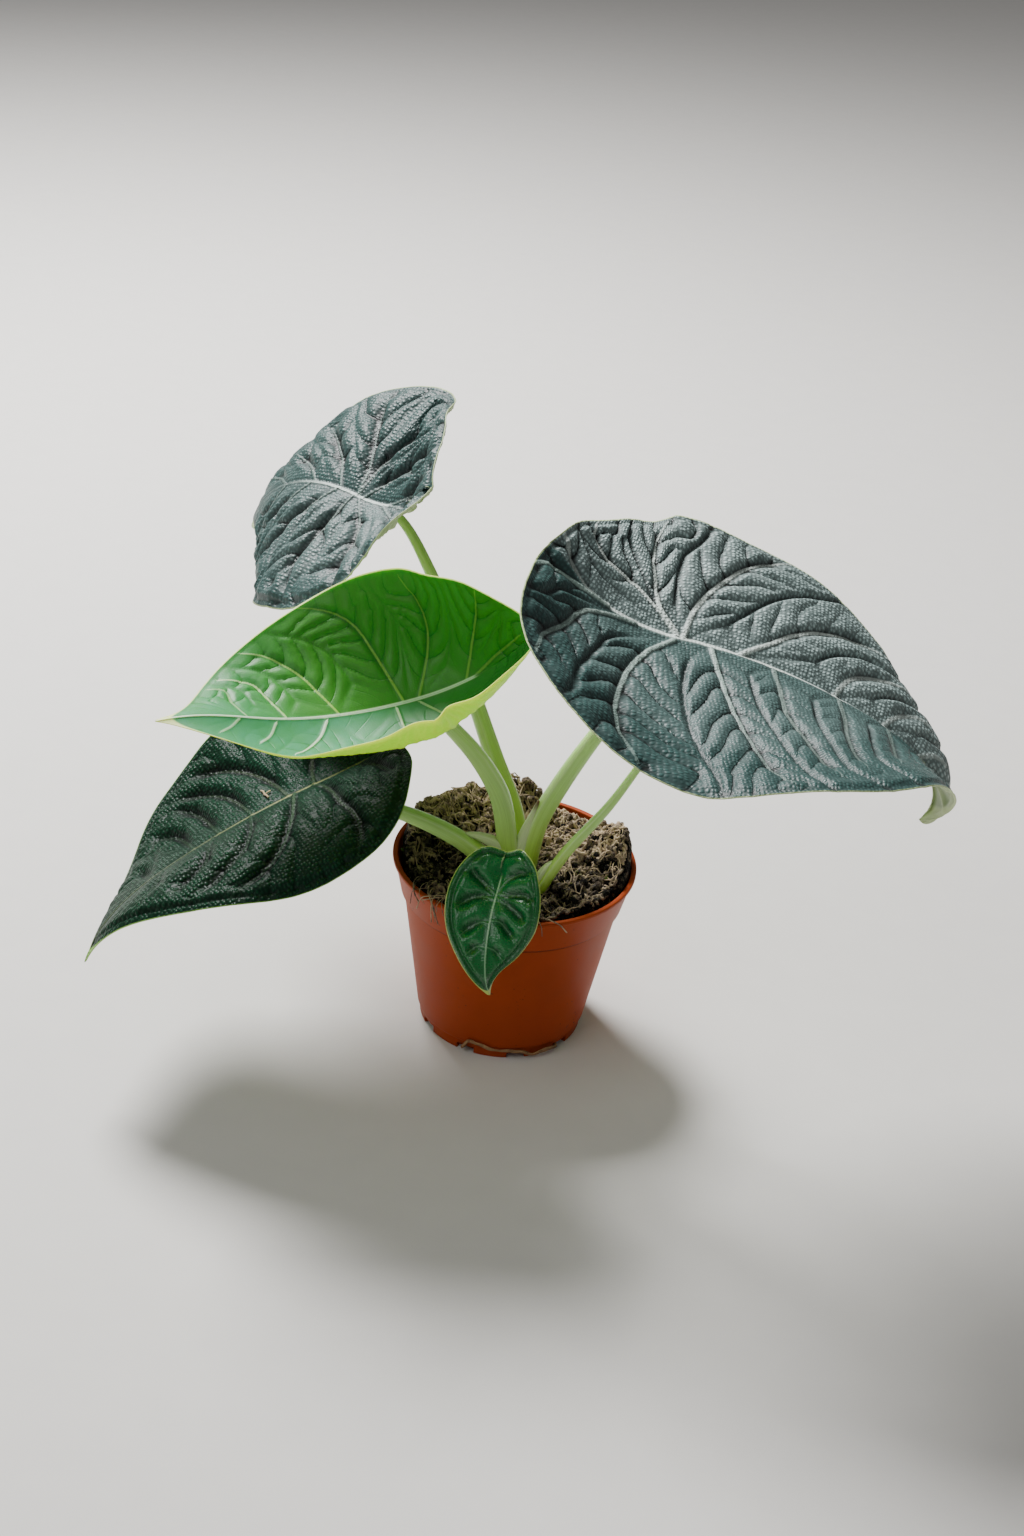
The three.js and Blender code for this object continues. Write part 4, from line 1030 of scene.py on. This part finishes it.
class PLANT_OT_leaves(bpy.types.Operator):
    """Build the six leaf blades"""
    bl_idname = "plant.leaves"
    bl_label = "Leaves"

    def execute(self, context):
        leaves = context.scene.plant_leaves
        grain = leaves.grain / MM
        # Mature leaf: waxy, silvery domes that catch soft light, and pale sunken veins
        grey = leaf_top_material(
            "waxy_grey_leaf", self.colours(leaves, "grey", "#8fa69c") + [leaves.margin], grain,
            depth=1, rough=0.4, glow=0, edge=0.8, shine=0.4,
        )
        grey_under = leaf_under_material("matt_leaf_underside", leaves.grey_under, leaves.margin, 0)
        # Young leaf: thin, smooth and full of light
        bright = leaf_top_material(
            "young_bright_leaf", self.colours(leaves, "bright", "#8fbf3c", "#e4f5a0"), grain * 0.6,
            depth=0.25, rough=0.4, glow=0.5, edge=0.8, shine=0.35,
        )
        bright_under = leaf_under_material("young_leaf_underside", leaves.bright_under, linear("#c4e44a"), 0.5)
        # Dark leaf: the same domes with little wax, so they only glint
        dark = leaf_top_material(
            "glossy_dark_leaf", self.colours(leaves, "dark", "#34533a", "#6f9a3f"), grain,
            depth=0.9, rough=0.28, glow=0, edge=0.5, shine=0.1,
        )
        dark_under = leaf_under_material("dark_leaf_underside", leaves.dark_under, linear("#8fae5a"), 0)
        # Small leaf: wet-looking, deep green
        small = leaf_top_material(
            "glossy_small_leaf", self.colours(leaves, "small", "#4f9a5c", "#a9bf5e"), grain * 0.7,
            depth=0.4, rough=0.2, glow=0, edge=0.5, shine=0.5,
        )
        for name, top, under, slot in (
            ("right", grey, grey_under, "leaf_grey"), ("back", grey, grey_under, "leaf_grey"),
            ("centre", bright, bright_under, "leaf_bright"), ("left", dark, dark_under, "leaf_dark"),
            ("front", small, dark_under, "leaf_small"), ("hidden", small, dark_under, "leaf_small"),
        ):
            build_leaf(name, [top, under])
        return {"FINISHED"}

    def colours(self, leaves, kind, *more):
        """The colours of a kind of leaf: its own, that of its bare veins, and that of its margin."""
        own = [getattr(leaves, f"{kind}_{part}") for part in ("bloom", "skin", "valley", "vein")]
        return own + [linear(code) for code in more]


class PLANT_OT_stalks(bpy.types.Operator):
    """Build the petioles and their sheaths"""
    bl_idname = "plant.stalks"
    bl_label = "Petioles and sheaths"

    def execute(self, context):
        stalks = context.scene.plant_stalks
        skin = stalk_material("moist_petiole_skin", stalks.foot, stalks.body, stalks.edge, stalks.body)
        papery = stalk_material("papery_sheath", stalks.sheath, stalks.sheath, stalks.edge, linear("#6a4a2c"))
        for name, petiole in PETIOLES.items():
            bm = new_stalks()
            add_stalk(bm, petiole, stalks.groove, 0.1, 0.5, stop=petiole.get("stop", 0.975))
            finish_piece(bm, name + "_petiole", [skin], ["petiole_" + name])
            if name in SHEATHS:
                bm = new_stalks()
                add_stalk(bm, SHEATHS[name], 0.1, 0.05, 1, rows=30, sides=20)
                finish_piece(bm, name + "_sheath", [papery])
        bm = new_stalks()
        add_stalk(bm, SHEATHS["new"], 0.12, 0.05, 1, rows=40, sides=28)
        finish_piece(bm, "pointed_sheath", [papery], ["new_sheath"])
        return {"FINISHED"}


class PLANT_OT_soil(bpy.types.Operator):
    """Build the soil with its crumbs, coir and fibres"""
    bl_idname = "plant.soil"
    bl_label = "Soil"

    def execute(self, context):
        soil = context.scene.plant_soil
        peat = soil_material("peat_and_coir", soil.dark, soil.light)
        fibre = root_material("coir_fibre", linear("#c0a888"), linear("#1e1612"))
        rng = random.Random(11)
        self.lay_bed(soil, peat)
        self.scatter_crumbs(soil, rng, peat)
        self.strew(
            soil, rng, "coir_bits", fibre, soil.bits, rows=6, step=(0.6, 1.1), half=(0.4, 0.8), curl=1.1, lift=0.5,
            paleness=0.15,
        )
        self.strew(
            soil, rng, "coir_fibres", fibre, soil.fibres, rows=9, step=(1.2, 2.4), half=(0.16, 0.34), curl=0.5,
            lift=1.6, paleness=0.4,
        )
        self.lay_roots(soil, rng, fibre)
        self.grow_moss(soil, rng)
        return {"FINISHED"}

    def lay_bed(self, soil, material):
        """Makes the soil's face, from its middle to the wall, and its side down along the wall."""
        bm, tone = new_toned()
        rings = FACE_RINGS + SIDE_RINGS
        made = bmesh.ops.create_grid(bm, x_segments=rings, y_segments=BED_STEPS, size=0.5)["verts"]
        radius = soil_radius(FACE_HEIGHT) * FACE_SHARE
        for vert in made:
            ring = round((vert.co.x + 0.5) * rings)
            turn = (vert.co.y + 0.5) * math.tau
            if ring <= FACE_RINGS:
                away = radius * ring / FACE_RINGS
                x, y = polar(away, turn)
                z = rough_height(soil, x, y) - EDGE_DROP * max(0, away / radius - EDGE_START) / EDGE_WIDTH
            else:
                top = rough_height(soil, *polar(radius, turn)) - EDGE_DROP
                z = top + (SIDE_FOOT - top) * (ring - FACE_RINGS) / SIDE_RINGS
                x, y = polar(soil_radius(z), turn)
            # Crumbs are sparse on the steep back faces of the heaps, so those are pale themselves
            steep = float(ease(math.hypot(x, y), 0.78 * radius, 0.9 * radius) * ease(y, 4, 22))
            speckle = 0.5 + noise.noise(Vector((x, y, z)) * 0.4)
            vert[tone] = 0.02 + (0.25 * dryness(x, y) + 0.5 * steep) * speckle
            vert.co = Vector((x, y, z)) * MM
        bmesh.ops.remove_doubles(bm, verts=bm.verts, dist=1e-6)
        finish_piece(bm, "soil_bed", [material], ["soil"])

    def scatter_crumbs(self, soil, rng, material):
        """Scatters loose crumbs of peat over the soil."""
        radius = soil_radius(FACE_HEIGHT) * FACE_SHARE * STREWN
        bm, tone, ball, crumbs = new_balls(soil.crumbs)
        for crumb in crumbs:
            x, y = random_spot(rng, radius)
            size = rng.choice((0.5, 0.7, 0.9, 1.3, 1.8))
            place = Vector((x, y, rough_height(soil, x, y) + size * 0.2))
            # Painted light: crumbs on the back-left heap, which lies in the leaves' shadow, are made paler
            painted_light_heap = float(ease(-x, 5, 25) * ease(y, 0, 15))
            shade = random_tone(rng, 0.12 + 0.5 * dryness(x, y) + 0.3 * painted_light_heap, 0.2)
            stretch = Vector([rng.uniform(0.6, 1.4) for _ in range(3)])
            seed = Vector((rng.random(), rng.random(), rng.random())) * 90
            for vert, spot in zip(crumb, ball):
                vert[tone] = shade
                shape = spot * (1 + 0.5 * noise.noise(spot * 1.3 + seed)) * size
                vert.co = (place + Vector([a * b for a, b in zip(shape, stretch)])) * MM
        finish_piece(bm, "soil_crumbs", [material])

    def strew(self, soil, rng, name, material, count, rows, step, half, curl, lift, paleness):
        """Strews short tubes over the soil, curled at random."""
        radius = soil_radius(FACE_HEIGHT) * STREWN
        strands = []
        for _ in range(count):
            x, y = random_spot(rng, radius)
            shade = random_tone(rng, paleness + 0.6 * dryness(x, y), 0.22)
            stride, thick = rng.uniform(*step), rng.uniform(*half)
            heading, bend_by = rng.random() * math.tau, rng.uniform(-curl, curl)
            route = []
            for i in range(rows):
                rise = 0.3 + lift * math.sin(math.pi * i / rows) * rng.uniform(0.5, 1.3)
                route.append((x, y, rough_height(soil, x, y) + rise))
                if math.hypot(x + stride * math.cos(heading), y + stride * math.sin(heading)) > radius:
                    heading += 2.4
                x += stride * math.cos(heading)
                y += stride * math.sin(heading)
                heading += bend_by + rng.uniform(-0.3, 0.3)
            strands.append((shade, np.array(route), np.full(rows, thick)))
        lay_strands(name, material, 5, strands)

    def lay_roots(self, soil, rng, material):
        """Lays a curled root on the soil and a scrap of coir on the dark leaf, and hangs fine roots over the rim."""
        rows = 24
        curl = [
            (29.5 + 4.3 * math.cos(a), 3.4 * math.sin(a), rough_height(soil, 29.5, 0) + 2 - 0.25 * a)
            for a in np.linspace(-0.6, 4.9, 9)
        ]
        routes = [
            (0.4, 0.95, SCRAP), (0.35, 0.9, SCRAP_FORK), (0.75, 0.95, curl),
            (0.5, 0.8, [(x - 2, y + 3, z + 0.6) for x, y, z in curl[2:7]]),
        ]
        for i in range(20):
            turn = math.radians(rng.uniform(207, 246) if i < 16 else rng.uniform(272, 290))
            fall, swing = rng.uniform(1, 9), rng.uniform(-0.09, 0.09)
            routes.append((rng.uniform(0.14, 0.28), rng.uniform(0, 0.7), [
                (*polar(away, turn + swing * step), height)
                for step, (away, height) in enumerate((
                    (43, rough_height(soil, *polar(43, turn))), (48, 82 + fall * 0.1), (51.5, 82.6),
                    (53.3 + rng.uniform(0, 0.6), 81.2), (53 + rng.uniform(0, 0.8), 80.5 - fall),
                ))
            ]))
        knots = np.arange(rows) * 1.9
        lay_strands("loose_roots", material, 6, [
            (shade, smooth_route(route, rows), half * (1 + 0.25 * np.sin(knots + half * 40)))
            for half, shade, route in routes
        ])

    def grow_moss(self, soil, rng):
        """Sets small cushions of moss on the soil."""
        moss = soil_material("damp_moss", linear("#1f2b12"), linear("#66803a"))
        bm, tone, ball, tufts = new_balls(40)
        for number, tuft in enumerate(tufts):
            x, y = MOSS_SPOTS[number % len(MOSS_SPOTS)]
            x, y = x + rng.gauss(0, 1.6), y + rng.gauss(0, 1.4)
            size = rng.uniform(0.35, 0.8)
            place = Vector((x, y, rough_height(soil, x, y) + 0.4))
            for vert, spot in zip(tuft, ball):
                vert[tone] = 0.6
                vert.co = (place + spot * size) * MM
        finish_piece(bm, "moss", [moss])


class PLANT_OT_pot(bpy.types.Operator):
    """Build the nursery pot"""
    bl_idname = "plant.pot"
    bl_label = "Pot"

    def execute(self, context):
        pot = context.scene.plant_pot
        plastic = pot_material("moulded_terracotta_plastic", pot.colour)
        top, lip, foot, wall = (v / MM for v in (pot.height, pot.lip_radius, pot.foot_radius, pot.wall))
        # Radius and height, from the middle of the foot out, up to the lip and back down inside
        profile = [
            (0, 0.4), (foot - 3.2, 0.4), (foot - 2.6, 0), (foot - 0.3, 0), (foot, 0.35), (foot + 0.3, 4.8),
            (foot + 0.5, 5.4), (foot + 1.25, 6), (foot + 1.45, 6.6),
            (UNDER_STEP, STEP_HEIGHT - 0.4), (UNDER_STEP + 0.15, STEP_HEIGHT + 0.2),
            (OVER_STEP - 0.35, STEP_HEIGHT + 0.45), (OVER_STEP, STEP_HEIGHT + 0.9),
            (BROW_RADIUS, BROW_HEIGHT), (BROW_RADIUS + 0.35, BROW_HEIGHT + 0.55),
            (lip - 0.15, BROW_HEIGHT + 0.75), (lip, BROW_HEIGHT + 1), (lip, top - 0.45), (lip - 0.15, top - 0.12),
            (lip - 0.45, top), (lip - 1.7, top), (lip - 2.15, top - 0.2), (lip - 2.3, top - 0.6),
            (lip - 2.5, BROW_HEIGHT - 0.2), (OVER_STEP - 0.1 - wall, STEP_HEIGHT + 1.9),
            (UNDER_STEP + 0.1 - wall, STEP_HEIGHT + 0.6), (foot + 1.2 - wall, 7), (foot - wall, 5),
            (foot - wall, FLOOR_TOP), (0, FLOOR_TOP),
        ]
        bm = bmesh.new()
        verts = [bm.verts.new((radius * MM, 0, height * MM)) for radius, height in profile]
        edges = [bm.edges.new(pair) for pair in zip(verts[:-1], verts[1:])]
        bmesh.ops.spin(
            bm, geom=verts + edges, cent=(0, 0, 0), axis=(0, 0, 1), angle=math.tau, steps=pot.steps,
            use_merge=True,
        )
        bmesh.ops.remove_doubles(bm, verts=bm.verts, dist=1e-6)
        bmesh.ops.recalc_face_normals(bm, faces=bm.faces)
        piece = finish_piece(bm, "nursery_pot", [plastic], ["pot"])
        self.cut(piece, foot)
        return {"FINISHED"}

    def cut(self, piece, foot):
        """Cuts the drain notches in the foot and the drain holes in the floor."""
        bm = bmesh.new()
        size = Matrix.Diagonal([side * MM for side in NOTCH_SIZE]).to_4x4()
        for i in range(NOTCHES):
            turn = Matrix.Rotation(math.radians(FIRST_NOTCH - 360 / NOTCHES * i), 4, "Z")
            bmesh.ops.create_cube(bm, size=1, matrix=turn @ Matrix.Translation((foot * MM, 0, 0)) @ size)
        for i in range(DRAINS):
            turn = Matrix.Rotation(math.tau * i / DRAINS, 4, "Z")
            bmesh.ops.create_cone(
                bm, cap_ends=True, segments=24, radius1=DRAIN_RADIUS * MM, radius2=DRAIN_RADIUS * MM, depth=8 * MM,
                matrix=turn @ Matrix.Translation((DRAIN_AWAY * MM, 0, 0)),
            )
        cutter = new_object(bm, "drain_cutter")
        cut = piece.modifiers.new("drains", "BOOLEAN")
        cut.object = cutter
        cut.operation = "DIFFERENCE"
        cut.solver = "EXACT"
        ready = piece.evaluated_get(bpy.context.evaluated_depsgraph_get())
        piece.data = bpy.data.meshes.new_from_object(ready)
        piece.modifiers.remove(cut)
        bpy.data.objects.remove(cutter)


class PLANT_OT_roots(bpy.types.Operator):
    """Build the roots at the foot of the pot"""
    bl_idname = "plant.roots"
    bl_label = "Roots"

    def execute(self, context):
        bark = root_material("dry_root", linear("#b08a5e"), linear("#5a3a22"))
        route = smooth_route(ROOT, ROOT_ROWS)
        share = np.linspace(0, 1, ROOT_ROWS)
        strands = []
        for number, (turns, away, half) in enumerate(((2, 0.45, 0.6), (-3, 0.5, 0.42), (1.5, 0.55, 0.3))):
            shift = np.stack([
                0 * share, 0.25 * away * np.cos(turns * share * math.tau + number),
                away * np.sin(turns * share * math.tau),
            ], axis=1)
            thick = half * (1 + 0.25 * np.sin(share * 41 + number * 2))
            strands.append((0.45 + 0.15 * number, route + shift, thick))
        lay_strands("foot_root", bark, 7, strands, ["root_strand"])
        return {"FINISHED"}


class PLANT_OT_crown(bpy.types.Operator):
    """Finish the crown in the soil"""
    bl_idname = "plant.crown"
    bl_label = "Crown"

    def execute(self, context):
        flesh = root_material("corky_crown", linear("#b9a97c"), linear("#6a5a3a"))
        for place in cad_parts["crown"].material_slots:
            place.material = flesh
        return {"FINISHED"}


class PLANT_OT_stage(bpy.types.Operator):
    """Set the floor, lights and camera"""
    bl_idname = "plant.stage"
    bl_label = "Floor, lights and camera"

    def execute(self, context):
        stage = context.scene.plant_stage
        self.lay_floor(stage)
        for name, power in (("key", stage.key_power), ("fill", stage.fill_power)):
            light = bpy.data.lights.new(name + "_light", "AREA")
            light.energy = power
            light.shape = "DISK"
            light.size = LIGHTS[name]["size"]
            lamp = bpy.data.objects.new(name + "_light", light)
            lamp.location = LIGHTS[name]["place"]
            lamp.rotation_euler = (LIGHT_AIM - LIGHTS[name]["place"]).to_track_quat("-Z", "Y").to_euler()
            context.scene.collection.objects.link(lamp)
        world = bpy.data.worlds.new("studio")
        world.use_nodes = True
        connect(world.node_tree.nodes["Background"], {"Color": (1, 1, 1, 1), "Strength": WORLD_LIGHT})
        context.scene.world = world
        self.set_camera(context)
        return {"FINISHED"}

    def lay_floor(self, stage):
        """Lays a plain painted floor, a little mottled."""
        material, add, shader = new_material("painted_floor")
        mottle = add("TexNoise", {
            "Vector": add("TexCoord", output="Object"), "Scale": 60, "Detail": 4, "Roughness": 0.5,
        })
        tone = add("MapRange", (mottle, 0, 1, 0.97, 1.03))
        colour = add("VectorMath", {0: stage.floor[:3], "Scale": tone}, operation="SCALE")
        connect(shader, {"Base Color": colour, "Roughness": 0.8})
        bm = bmesh.new()
        bmesh.ops.create_grid(bm, x_segments=2, y_segments=2, size=FLOOR_HALF)
        new_object(bm, "floor", [material])

    def set_camera(self, context):
        """Sets the camera that took the photograph."""
        lens = bpy.data.cameras.new("camera")
        lens.lens = LENS
        lens.sensor_width = SENSOR
        camera = bpy.data.objects.new("camera", lens)
        down, roll = math.radians(CAMERA_DOWN), math.radians(CAMERA_ROLL)
        ahead = Vector((0, math.cos(down), -math.sin(down)))
        up = Vector((0, math.sin(down), math.cos(down)))
        right = Vector((1, 0, 0))
        tilted = Matrix((
            math.cos(roll) * right + math.sin(roll) * up, math.cos(roll) * up - math.sin(roll) * right, -ahead,
        )).transposed()
        camera.matrix_world = Matrix.Translation(CAMERA_PLACE) @ tilted.to_4x4()
        context.scene.collection.objects.link(camera)
        context.scene.camera = camera


class PLANT_PT_panel(bpy.types.Panel):
    """Lists the pieces of the plant"""
    bl_idname = "PLANT_PT_panel"
    bl_label = "Potted Alocasia"
    bl_space_type = "VIEW_3D"
    bl_region_type = "UI"
    bl_category = "Alocasia"

    def draw(self, context):
        for operator in OPERATORS:
            self.layout.operator(operator.bl_idname)
        for group in GROUPS:
            settings = getattr(context.scene, group)
            box = self.layout.box()
            for name in settings.bl_rna.properties.keys():
                if name not in ("rna_type", "name"):
                    box.prop(settings, name)


GROUPS = {
    "plant_leaves": PlantLeaves,
    "plant_stalks": PlantStalks,
    "plant_soil": PlantSoil,
    "plant_pot": PlantPot,
    "plant_stage": PlantStage,
}
OPERATORS = (
    PLANT_OT_stage, PLANT_OT_pot, PLANT_OT_soil, PLANT_OT_crown, PLANT_OT_stalks, PLANT_OT_leaves, PLANT_OT_roots,
)


def register():
    for kind in (*GROUPS.values(), *OPERATORS, PLANT_PT_panel):
        bpy.utils.register_class(kind)
    for name, group in GROUPS.items():
        setattr(bpy.types.Scene, name, PointerProperty(type=group))


def unregister():
    for name in GROUPS:
        delattr(bpy.types.Scene, name)
    for kind in (PLANT_PT_panel, *reversed(OPERATORS), *reversed(GROUPS.values())):
        bpy.utils.unregister_class(kind)


def main():
    register()
    bpy.ops.plant.stage()
    bpy.ops.plant.pot()
    bpy.ops.plant.soil()
    bpy.ops.plant.crown()
    bpy.ops.plant.stalks()
    bpy.ops.plant.leaves()
    bpy.ops.plant.roots()


if __name__ == "__main__":
    main()
